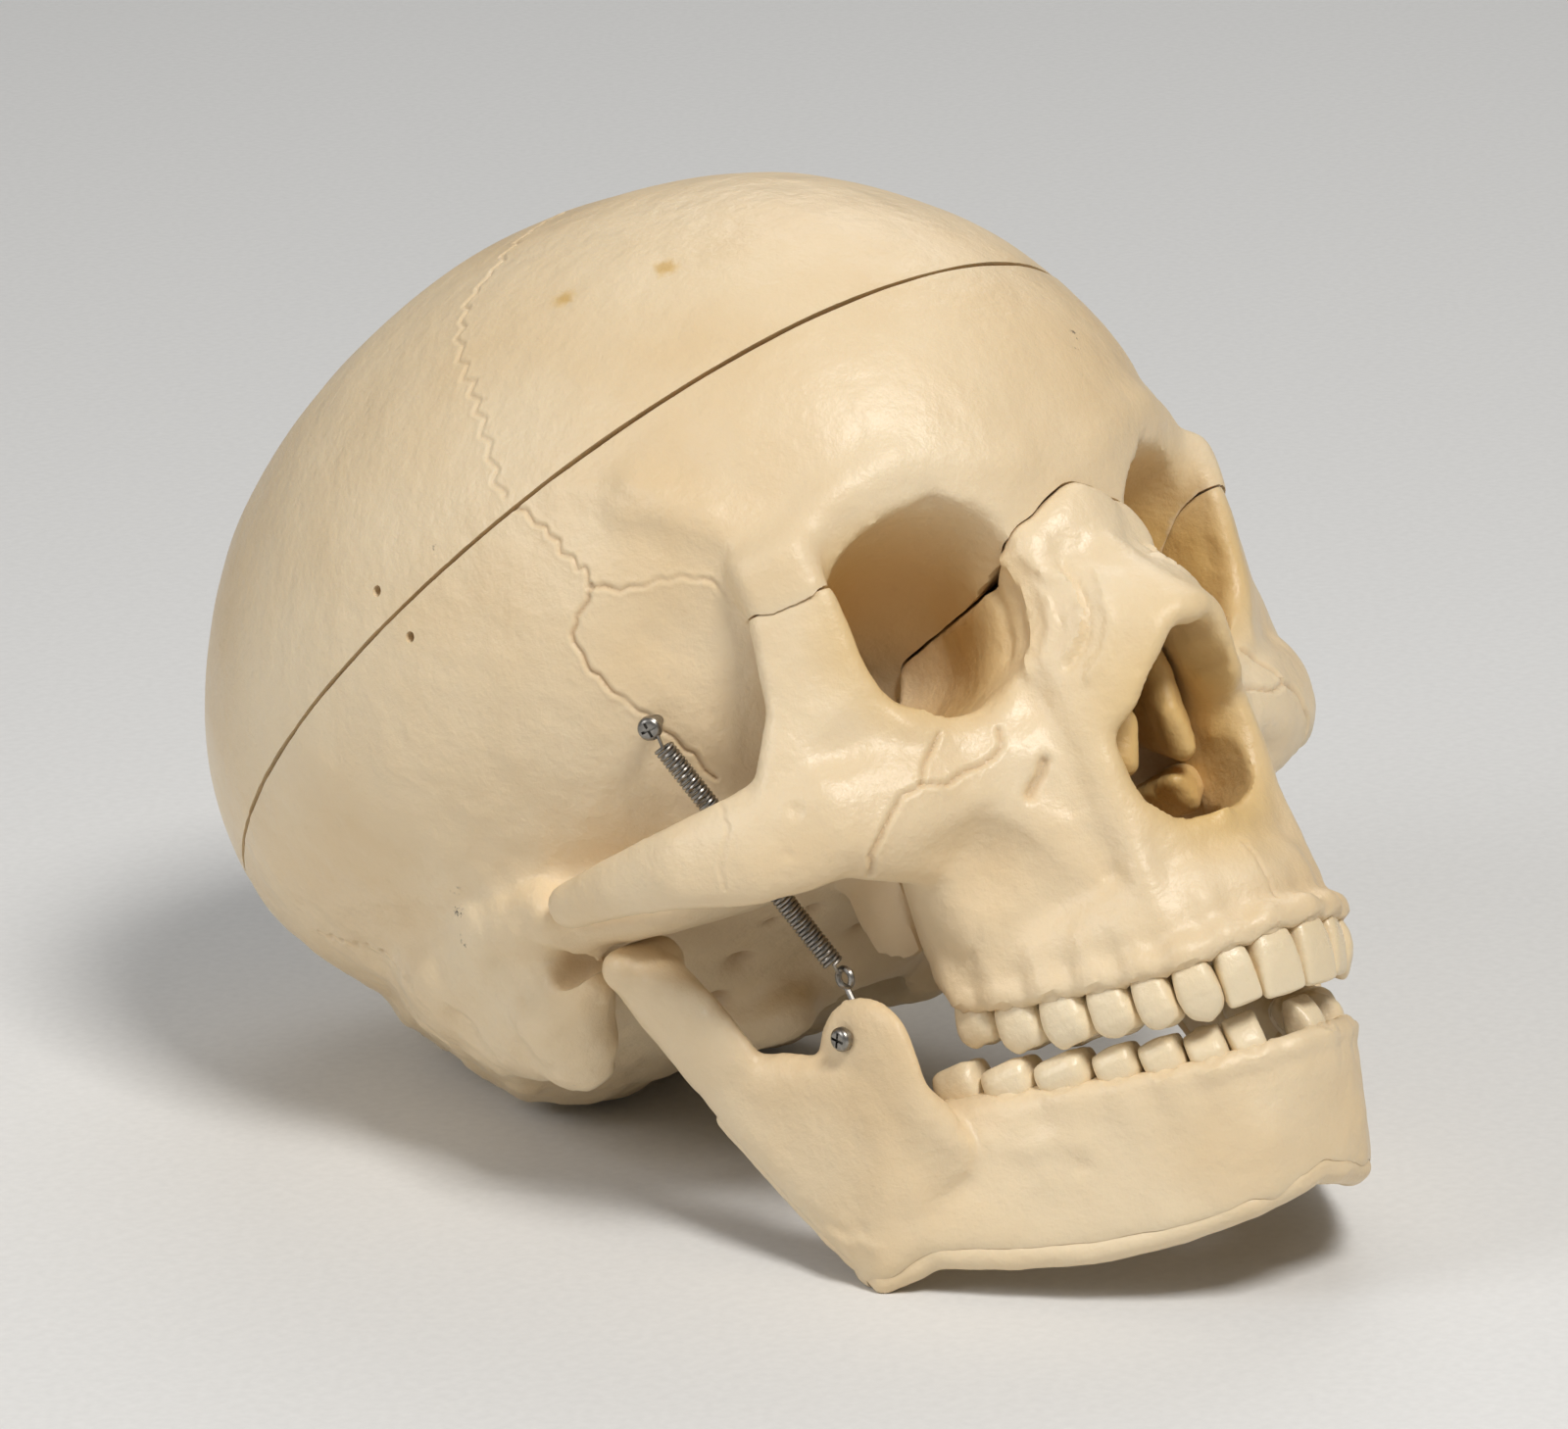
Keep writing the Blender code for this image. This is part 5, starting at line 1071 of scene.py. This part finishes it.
# Teeth: thirty single crowns with short roots, cast in a paler and glossier vinyl and pushed into
# the gum rows.  The right central and the left side incisor of the lower row are lost.
UPPER_TOOTH = (
    (3.65, -87.0, -43.0), (9.6, -84.9, -43.3), (14.0, -81.2, -43.6), (17.2, -76.1, -42.8),
    (19.9, -70.5, -41.6), (22.2, -63.9, -40.0), (24.0, -56.8, -38.2), (25.2, -49.8, -36.0),
)
LOWER_TOOTH = (
    (2.7, -81.6, -57.2), (7.6, -79.8, -57.1), (11.8, -76.1, -56.6), (15.3, -71.0, -55.4),
    (18.7, -65.4, -53.6), (22.3, -58.6, -51.4), (25.4, -50.9, -49.4), (27.9, -43.4, -47.8),
)
UPPER_WIDTHS = (0.514, 0.431, 0.520, 0.449, 0.484, 0.489, 0.490, 0.458)
LOWER_WIDTHS = (0.461, 0.462, 0.475, 0.471, 0.449, 0.505, 0.481, 0.461)
UPPER_DEPTHS = (0.83, 1.12, 1.10, 1.38, 1.25, 1.31, 1.27, 1.29)
LOWER_DEPTHS = (1.18, 1.16, 1.21, 1.27, 1.25, 1.14, 1.15, 1.15)
UPPER_EDGES = (-51.4, -50.8, -50.8, -49.5, -48.1, -46.5, -44.3, -40.9)
LOWER_EDGES = (-51.9, -51.7, -51.7, -50.6, -49.2, -47.5, -45.3, -42.7)
MISSING_LOWER = {("right", 1), ("left", 2)}
TOOTH_NAMES = ("central_incisor", "side_incisor", "canine", "first_premolar", "second_premolar",
               "first_molar", "second_molar", "third_molar")
TOOTH_KINDS = ("incisor", "incisor", "canine", "premolar", "premolar", "molar", "molar", "molar")
# Height share, then width and depth shares of each ring of a tooth
TOOTH_PROFILES = {
    "incisor": ((-1, 0.20, 0.25), (-0.5, 0.55, 0.60), (0, 0.94, 0.92), (0.2, 1.02, 0.96),
                (0.45, 1.06, 0.86), (0.7, 1.08, 0.66), (0.9, 1.06, 0.42), (1, 0.98, 0.28)),
    "canine": ((-1, 0.20, 0.25), (-0.5, 0.58, 0.62), (0, 0.94, 0.92), (0.25, 1.04, 1.0),
               (0.5, 1.08, 0.94), (0.75, 1.02, 0.72), (0.92, 0.80, 0.46), (1, 0.52, 0.28)),
    "premolar": ((-1, 0.25, 0.30), (-0.5, 0.62, 0.66), (0, 0.98, 0.92), (0.25, 1.06, 1.0),
                 (0.5, 1.10, 1.04), (0.75, 1.07, 0.98), (0.9, 0.95, 0.82), (1, 0.74, 0.64)),
    "molar": ((-1, 0.30, 0.35), (-0.5, 0.68, 0.70), (0, 0.99, 0.92), (0.25, 1.06, 1.0),
              (0.5, 1.10, 1.04), (0.75, 1.07, 0.98), (0.9, 0.97, 0.86), (1, 0.82, 0.70)),
}
# Cusps of the biting face: place across and in depth as shares, height in millimetres
TOOTH_CUSPS = {
    "incisor": ((-0.62, 0, 0.12), (0, 0, 0.05), (0.62, 0, 0.12)),
    "canine": ((0, 0, 0.5),),
    "premolar": ((0, 0.55, 0.75), (0, -0.55, 0.6), (0, 0, -0.5)),
    "molar": ((-0.45, 0.5, 0.65), (0.45, 0.5, 0.65), (-0.45, -0.5, 0.6), (0.45, -0.5, 0.55),
              (0, 0, -0.6)),
}
ROOT = 6.0
TOOTH_SIDES = 20
TOOTH_RINGS = 13
TOOTH_SQUARENESS = 0.54
UPRIGHT_WIDTH = 1.05
GUM_SCALLOP = 0.9


def tooth_seats(places, edges, widths, side):
    """Foot, tip, heading and width of each tooth of one quarter, from the midline back."""
    feet = [Vector((side * place[0], *place[1:])) for place in places]
    seats = []
    for count, foot in enumerate(feet):
        ahead = feet[count - 1] if count else Vector((-side * places[0][0], *places[0][1:]))
        behind = feet[count + 1] if count + 1 < len(feet) else 2 * foot - ahead
        along = behind - ahead
        along.z = 0
        tip = Vector((foot.x, foot.y, edges[count]))
        seats.append((foot, tip, along.normalized(), along.length * widths[count]))
    return seats


def tooth_ring(form, middle, along, out, half_width, half_depth):
    """A ring of corners round a tooth, nearly square with round corners."""
    corners = []
    for step in range(TOOTH_SIDES):
        turn = math.tau * (step + 0.5) / TOOTH_SIDES
        wide = math.copysign(abs(math.cos(turn)) ** TOOTH_SQUARENESS, math.cos(turn))
        deep = math.copysign(abs(math.sin(turn)) ** TOOTH_SQUARENESS, math.sin(turn))
        corners.append(form.verts.new((middle + along * wide * half_width
                                       + out * deep * half_depth) * MM))
    return corners


def crown(name, seat, depth, kind, seed, plain):
    """One tooth, from its root's tip to the cusps of its biting face."""
    foot, tip, along, width = seat
    up = (tip - foot).normalized()
    out = along.cross(up).normalized()
    profile = np.array(TOOTH_PROFILES[kind])
    tall = (tip - foot).length
    heights = list(np.linspace(-1, -0.2, 4)) + list(np.linspace(0, 1, TOOTH_RINGS))
    form = bmesh.new()
    rings = []
    for height in heights:
        wide = np.interp(height, profile[:, 0], profile[:, 1]) * width / 2
        if height >= 0:
            wide += (UPRIGHT_WIDTH * width / 2 - wide) * plain
        deep = np.interp(height, profile[:, 0], profile[:, 2]) * depth / 2
        reach = ROOT if height < 0 else tall
        rings.append(tooth_ring(form, foot + up * reach * height, along, out, wide, deep))
    for share in (0.75, 0.45, 0.18):
        rings.append(tooth_ring(form, tip + up * 0.25 * (1 - share), along, out, wide * share,
                                deep * share))
    for lower, upper in zip(rings, rings[1:]):
        for step in range(TOOTH_SIDES):
            after = (step + 1) % TOOTH_SIDES
            form.faces.new((lower[step], lower[after], upper[after], upper[step]))
    form.faces.new(rings[-1])
    form.faces.new(rings[0])
    item = from_form(name, form)
    places, ways = places_of(item)
    local = places - np.array(foot)
    high = np.clip((local @ np.array(up) / tall - 0.72) / 0.25, 0, 1)
    across = local @ np.array(along) / (width / 2)
    inward = local @ np.array(out) / (depth / 2)
    lift = np.zeros(len(places))
    for u, v, height in TOOTH_CUSPS[kind]:
        lift += height * np.exp(-((across - u) ** 2 + (inward - v) ** 2) / 0.14)
    places += np.array(up) * (lift * high)[:, None]
    places += ways * (ripple(places, 2.4, seed) * 0.12)[:, None]
    put_places(item, places)
    smooth = item.modifiers.new("round", "SUBSURF")
    smooth.levels = smooth.render_levels = 1
    return settle(item)


def gum_work(carrier, tree, seats, depths, lost, relief):
    """Scallop the gum round each tooth of a row, with a little painted shade along the gum line, and
    swell it over the roots by a share.
    """
    for count, (foot, tip, along, width) in enumerate(seats):
        up = (tip - foot).normalized()
        out = along.cross(up).normalized()
        if out.dot(Vector((foot.x, foot.y + 55, 0))) < 0:
            out = -out
        depth = width * depths[count]
        ring = []
        for step in range(25):
            turn = math.tau * step / 24
            scallop = GUM_SCALLOP * (0.5 - abs(math.sin(turn))) * 2
            ring.append(foot + along * math.cos(turn) * width * 0.46
                        + out * math.sin(turn) * depth * 0.50 + up * scallop)
        # A little painted shade runs along the gum line round each tooth
        if count not in lost:
            score(carrier, laid_line(tree, ring, 0.05, 4, 7), 0.45, 0.32, 0.16, 0.10)
        swells = [(*(foot + out * (depth * 0.5 + 0.5) - up * down), 2.0,
                   relief * (-0.55 + down * 0.035)) for down in (3.0, 5.0, 7.0, 9.0)]
        between = foot + along * width / 2 + out * depth * 0.45
        furrows = [(*(between - up * down), 1.2, relief * (0.42 - down * 0.03))
                   for down in (1.0, 3.0, 5.0)]
        one_sided_dent(carrier, tree, swells + furrows)


def one_sided_dent(item, tree, marks):
    """Press dents or raise lumps on one side of the skull only."""
    places, ways = places_of(item)
    for x, y, z, reach, depth in marks:
        middle = np.array(tree.find_nearest(Vector((x, y, z)) * MM)[0]) / MM
        fall = np.exp(-(np.linalg.norm(places - middle, axis=1) / reach) ** 2)
        places -= ways * (depth * fall)[:, None]
    put_places(item, places)


enamel = bone_finish("tooth_vinyl", (0.870, 0.745, 0.530), (0.815, 0.655, 0.420), 0.27)
teeth = []
for level, carrier, places, edges, widths, depths in (
        ("upper", face, UPPER_TOOTH, UPPER_EDGES, UPPER_WIDTHS, UPPER_DEPTHS),
        ("lower", jaw, LOWER_TOOTH, LOWER_EDGES, LOWER_WIDTHS, LOWER_DEPTHS)):
    carrier_tree = tree_of(carrier)
    for side_name, side in (("left", 1), ("right", -1)):
        seats = tooth_seats(places, edges, widths, side)
        lost = [count for count in range(len(seats))
                if level == "lower" and (side_name, count + 1) in MISSING_LOWER]
        relief, plain = (0.9, 0) if level == "upper" else (0.4, 0.85)
        gum_work(carrier, carrier_tree, seats, depths, lost, relief)
        for count, seat in enumerate(seats):
            twin = f"{level}_{TOOTH_NAMES[count]}_{side_name}"
            depth = seat[3] * depths[count]
            tooth = crown(twin + "_crown", seat, depth, TOOTH_KINDS[count], 10 + count * 3 + side,
                          plain)
            if count in lost:
                cut(carrier, tooth)
                continue
            teeth.append(tooth)
            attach(tooth, "skull" if level == "upper" else "jaw")
            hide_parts(twin)

# Screws: two with round heads and a cross on the temples, and two through the coronoid processes.
SCREW_HEAD = 1.8
SCREW_HEAD_HEIGHT = 1.4
SCREW_SHANK = 1.0
SCREW_LENGTH = 6.0
SCREW_STAND = 1.2
CROSS_REACH = 1.15
CROSS_WIDTH = 0.42
SPRING_SCREW = Vector((54.6, -39.6, 18.2))
JAW_SCREW = Vector((44.4, -41.2, -33.4))


def steel_finish(name, colour, rough):
    """Bright plated steel with fine wear."""
    finish = bpy.data.materials.new(name)
    finish.use_nodes = True
    tree = finish.node_tree
    shader = tree.nodes["Principled BSDF"]
    where = node(tree, "ShaderNodeTexCoord", (-1200, 0)).outputs["Object"]
    wear = node(tree, "ShaderNodeTexNoise", (-1000, 0), Scale=900, Detail=5)
    tree.links.new(where, wear.inputs["Vector"])
    dull = tuple(share * 0.62 for share in colour)
    share = banded(tree, (-800, 0), wear.outputs["Fac"], 0.45, 0.75)
    tree.links.new(blended(tree, (-600, 0), share, (*colour, 1), (*dull, 1)),
                   shader.inputs["Base Color"])
    tree.links.new(banded(tree, (-600, -300), wear.outputs["Fac"], 0.3, 0.7, rough, rough + 0.16),
                   shader.inputs["Roughness"])
    bump = node(tree, "ShaderNodeBump", (-400, -500), Strength=0.12, Distance=0.00008)
    tree.links.new(wear.outputs["Fac"], bump.inputs["Height"])
    tree.links.new(bump.outputs["Normal"], shader.inputs["Normal"])
    shader.inputs["Metallic"].default_value = 1
    return finish


steel = steel_finish("plated_steel", (0.34, 0.32, 0.29), 0.26)
bpy.ops.object.select_all(action="DESELECT")
bpy.ops.mesh.primitive_cylinder_add(vertices=40, radius=SCREW_HEAD * MM,
                                    depth=SCREW_HEAD_HEIGHT * MM,
                                    location=(0, 0, SCREW_HEAD_HEIGHT * MM / 2))
screw_head = bpy.context.object
bpy.ops.object.transform_apply(location=True)
bpy.ops.object.mode_set(mode="EDIT")
bpy.ops.mesh.select_all(action="DESELECT")
bpy.ops.mesh.select_mode(type="EDGE")
bpy.ops.object.mode_set(mode="OBJECT")
for edge in screw_head.data.edges:
    ends = [screw_head.data.vertices[corner].co.z for corner in edge.vertices]
    edge.select = min(ends) > SCREW_HEAD_HEIGHT * MM * 0.9
bpy.ops.object.mode_set(mode="EDIT")
bpy.ops.mesh.bevel(offset=SCREW_HEAD_HEIGHT * MM * 0.62, segments=7, profile=0.5)
bpy.ops.mesh.select_all(action="DESELECT")
bpy.ops.mesh.select_mode(type="FACE")
bpy.ops.object.mode_set(mode="OBJECT")
for face_of_head in screw_head.data.polygons:
    face_of_head.select = face_of_head.normal.z < -0.9
bpy.ops.object.mode_set(mode="EDIT")
bpy.ops.mesh.inset(thickness=(SCREW_HEAD - SCREW_SHANK) * MM)
bpy.ops.mesh.extrude_region_move(TRANSFORM_OT_translate={"value": (0, 0, -SCREW_LENGTH * MM * 0.8)})
bpy.ops.mesh.extrude_region_move(TRANSFORM_OT_translate={"value": (0, 0, -SCREW_LENGTH * MM * 0.2)})
bpy.ops.transform.resize(value=(0.25, 0.25, 1))
bpy.ops.object.mode_set(mode="OBJECT")
for turn in (0, math.pi / 2):
    size = (CROSS_REACH, CROSS_WIDTH / 2, 0.7)
    slot = slab("cross_slot", [-part for part in size], size,
                Matrix.Translation((0, 0, SCREW_HEAD_HEIGHT * MM)) @ Matrix.Rotation(turn, 4, "Z"))
    cut(screw_head, slot)


def outward(place):
    """The direction square to the brain case at a place in millimetres."""
    around = place - Vector(VAULT_MIDDLE)
    return Vector([step / half ** 2 for step, half in zip(around, VAULT_HALVES)]).normalized()


metal = []
for side_name, side in (("left", 1), ("right", -1)):
    temple = Vector((side * SPRING_SCREW.x, *SPRING_SCREW[1:]))
    knuckle = Vector((side * JAW_SCREW.x, *JAW_SCREW[1:]))
    for twin, body, foot, out, spin in (
            ("spring_screw_", "skull", temple + outward(temple) * SCREW_STAND, outward(temple), 0.5),
            ("jaw_screw_", "jaw", knuckle, Vector((side, 0, 0)), 0.9)):
        screw = screw_head.copy()
        screw.data = screw_head.data.copy()
        screw.name = twin + side_name + "_bright"
        bpy.context.collection.objects.link(screw)
        turn = Vector((0, 0, 1)).rotation_difference(out).to_matrix().to_4x4()
        screw.data.transform(Matrix.Translation(foot * MM) @ turn @ Matrix.Rotation(spin, 4, "Z"))
        metal.append(screw)
        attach(screw, body)
        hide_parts(twin + side_name)
drop(screw_head)

# Springs and eyelets: a wire eyelet stands over each coronoid process, and a close-wound spring
# runs from its ring up inside the cheek arch to a loop round the temple screw.
SPRING_CURLS = 62
SPRING_WIRE = 0.30
SPRING_RADIUS = 1.30
CURL_POINTS = 12
SPRING_STAND = 2.0
EYELET_WIRE = 0.5
EYELET_RADIUS = 1.35
EYELET = Vector((39.8, -41.2, -25.0))


def wire(name, points, radius):
    """A round wire with closed ends along a row of places in millimetres."""
    bpy.ops.object.select_all(action="DESELECT")
    curve = bpy.data.curves.new(name, "CURVE")
    curve.dimensions = "3D"
    curve.bevel_depth = radius * MM
    curve.bevel_resolution = 2
    curve.use_fill_caps = True
    line = curve.splines.new("POLY")
    line.points.add(len(points) - 1)
    for point, place in zip(line.points, points):
        point.co = (*(Vector(place) * MM), 1)
    item = bpy.data.objects.new(name, curve)
    bpy.context.collection.objects.link(item)
    item.select_set(True)
    bpy.context.view_layer.objects.active = item
    bpy.ops.object.convert(target="MESH")
    bpy.ops.object.mode_set(mode="EDIT")
    bpy.ops.mesh.select_all(action="SELECT")
    bpy.ops.mesh.remove_doubles(threshold=0.000001)
    bpy.ops.mesh.normals_make_consistent(inside=False)
    bpy.ops.object.mode_set(mode="OBJECT")
    item.select_set(False)
    return item


def arc(middle, first, second, radius, start, end, steps):
    """Places on a part of a circle."""
    turns = [start + (end - start) * step / steps for step in range(steps + 1)]
    return [middle + (first * math.cos(turn) + second * math.sin(turn)) * radius for turn in turns]


springs = []
for side_name, side in (("left", 1), ("right", -1)):
    temple = Vector((side * SPRING_SCREW.x, *SPRING_SCREW[1:]))
    out = outward(temple)
    ring_middle = Vector((side * EYELET.x, *EYELET[1:]))
    knuckle = Vector((side * JAW_SCREW.x, *JAW_SCREW[1:]))
    foot = Vector((ring_middle.x, ring_middle.y, knuckle.z + 1.7))
    eyelet = wire(f"jaw_eyelet_{side_name}_bright",
                  [foot] + arc(ring_middle, Vector((0, 0, -1)), Vector((0, 1, 0)), EYELET_RADIUS,
                               0.3, math.tau - 0.5, 30), EYELET_WIRE)
    metal.append(eyelet)
    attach(eyelet, "jaw")
    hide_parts("jaw_eyelet_" + side_name)
    top = temple + out * SPRING_STAND
    along = (ring_middle - top).normalized()
    aside = (along - out * along.dot(out)).normalized()
    other = out.cross(aside)
    start = top + along * 3.2
    end = ring_middle - along * 2.6
    across = along.orthogonal().normalized()
    third = along.cross(across)
    path = arc(top, aside, other, 1.45, math.radians(320), math.radians(20), 24)
    for step in range(SPRING_CURLS * CURL_POINTS + 1):
        share = step / (SPRING_CURLS * CURL_POINTS)
        turn = math.tau * step / CURL_POINTS
        path.append(start + (end - start) * share
                    + (across * math.cos(turn) + third * math.sin(turn)) * SPRING_RADIUS)
    hook_side = Vector((side, 0, 0))
    hook_side = (hook_side - along * hook_side.dot(along)).normalized()
    path += arc(ring_middle + along * 0.2, -along, hook_side, 1.3, math.radians(25),
                math.radians(300), 20)
    spring = wire(f"jaw_spring_{side_name}_coil", path, SPRING_WIRE)
    springs.append((spring, side_name, top, ring_middle))
    metal.append(spring)
    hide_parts("jaw_spring_" + side_name)

# Cap pins: three short steel pins with rounded ends that stand in the rim of the base and locate
# the cap.  Only their finish is added here.
for count in (1, 2, 3):
    pin = frame["nodes"][f"cap_pin_{count}"]
    for place in range(len(pin.material_slots)):
        pin.material_slots[place].material = steel

# Standing: every piece is tilted from the skull's own frame to its rest, on the back of its base
# and on the angles of its jaw, and smoothed.
SHARP = math.radians(38)
box_low, box_high = (np.array(corner) / MM for corner in cad_box)
box_low[2] = max(box_low[2], 0)
for piece in bone_pieces + teeth + metal:
    piece.data.transform(STAND)
    piece.data.materials.clear()
    piece.data.materials.append(steel if piece in metal else enamel if piece in teeth else bone)
    places, _ = places_of(piece)
    put_places(piece, np.clip(places, box_low, box_high))
    piece.data.shade_smooth()
    piece.data.set_sharp_from_angle(angle=SHARP)
for spring, side_name, top, ring_middle in springs:
    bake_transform(spring)

# Floor, light and camera: a pale matt floor, three large soft lamps and the photograph's view.
bpy.ops.mesh.primitive_plane_add(size=8, location=(0, 0, 0))
floor = bpy.context.object
floor.name = "studio_floor"
matt = bpy.data.materials.new("pale_matt_paper")
matt.use_nodes = True
paper = matt.node_tree
shader = paper.nodes["Principled BSDF"]
grain = node(paper, "ShaderNodeTexNoise", (-600, 0), Scale=600, Detail=4)
paper.links.new(node(paper, "ShaderNodeTexCoord", (-800, 0)).outputs["Object"],
                grain.inputs["Vector"])
share = banded(paper, (-400, 0), grain.outputs["Fac"], 0.3, 0.7)
paper.links.new(blended(paper, (-200, 0), share, (0.80, 0.80, 0.79, 1), (0.76, 0.76, 0.75, 1)),
                shader.inputs["Base Color"])
shader.inputs["Roughness"].default_value = 0.75
shader.inputs["Specular IOR Level"].default_value = 0.2
floor.data.materials.append(matt)

world = bpy.data.worlds.new("studio")
bpy.context.scene.world = world
world.use_nodes = True
sky = world.node_tree.nodes["Background"]
sky.inputs["Color"].default_value = (0.80, 0.81, 0.83, 1)
sky.inputs["Strength"].default_value = 0.20

CAMERA_PLACE = Vector((-850.3, -937.7, -145.4))
CAMERA_AZIMUTH, CAMERA_ELEVATION, CAMERA_ROLL = map(math.radians, (-42.4, -7.5, -21.9))
FOCAL_PIXELS = 8615
PHOTO_WIDTH = 1600
SENSOR = 36
back = Vector((math.sin(CAMERA_AZIMUTH) * math.cos(CAMERA_ELEVATION),
               -math.cos(CAMERA_AZIMUTH) * math.cos(CAMERA_ELEVATION), math.sin(CAMERA_ELEVATION)))
level = Vector((0, 0, 1)).cross(back).normalized()
rise = back.cross(level)
right = level * math.cos(CAMERA_ROLL) + rise * math.sin(CAMERA_ROLL)
up = rise * math.cos(CAMERA_ROLL) - level * math.sin(CAMERA_ROLL)
aim = Matrix((right, up, back)).transposed().to_4x4()
camera_data = bpy.data.cameras.new("photo_view")
camera_data.sensor_width = SENSOR
camera_data.lens = FOCAL_PIXELS / PHOTO_WIDTH * SENSOR
camera_data.clip_start = 0.05
camera_data.clip_end = 50
camera = bpy.data.objects.new("photo_view", camera_data)
bpy.context.collection.objects.link(camera)
camera.matrix_world = STAND @ Matrix.Translation(CAMERA_PLACE * MM) @ aim
bpy.context.scene.camera = camera


def lamp(name, place, target, size, watts, colour):
    """A square soft lamp that looks at a place."""
    light = bpy.data.lights.new(name, "AREA")
    light.shape = "SQUARE"
    light.size = size
    light.energy = watts
    light.color = colour
    item = bpy.data.objects.new(name, light)
    bpy.context.collection.objects.link(item)
    item.location = place
    item.rotation_euler = (Vector(target) - Vector(place)).to_track_quat("-Z", "Y").to_euler()


MIDDLE = (0, 0, 0.07)
lamp("key", (-0.30, -0.95, 1.45), MIDDLE, 0.45, 20, (1.0, 0.97, 0.93))
lamp("fill", (-1.35, 0.35, 0.9), MIDDLE, 0.7, 6.5, (0.97, 0.98, 1.0))
lamp("rim", (0.9, 0.7, 1.2), MIDDLE, 0.9, 5, (1.0, 0.99, 0.97))
bpy.context.scene.view_settings.view_transform = "Standard"
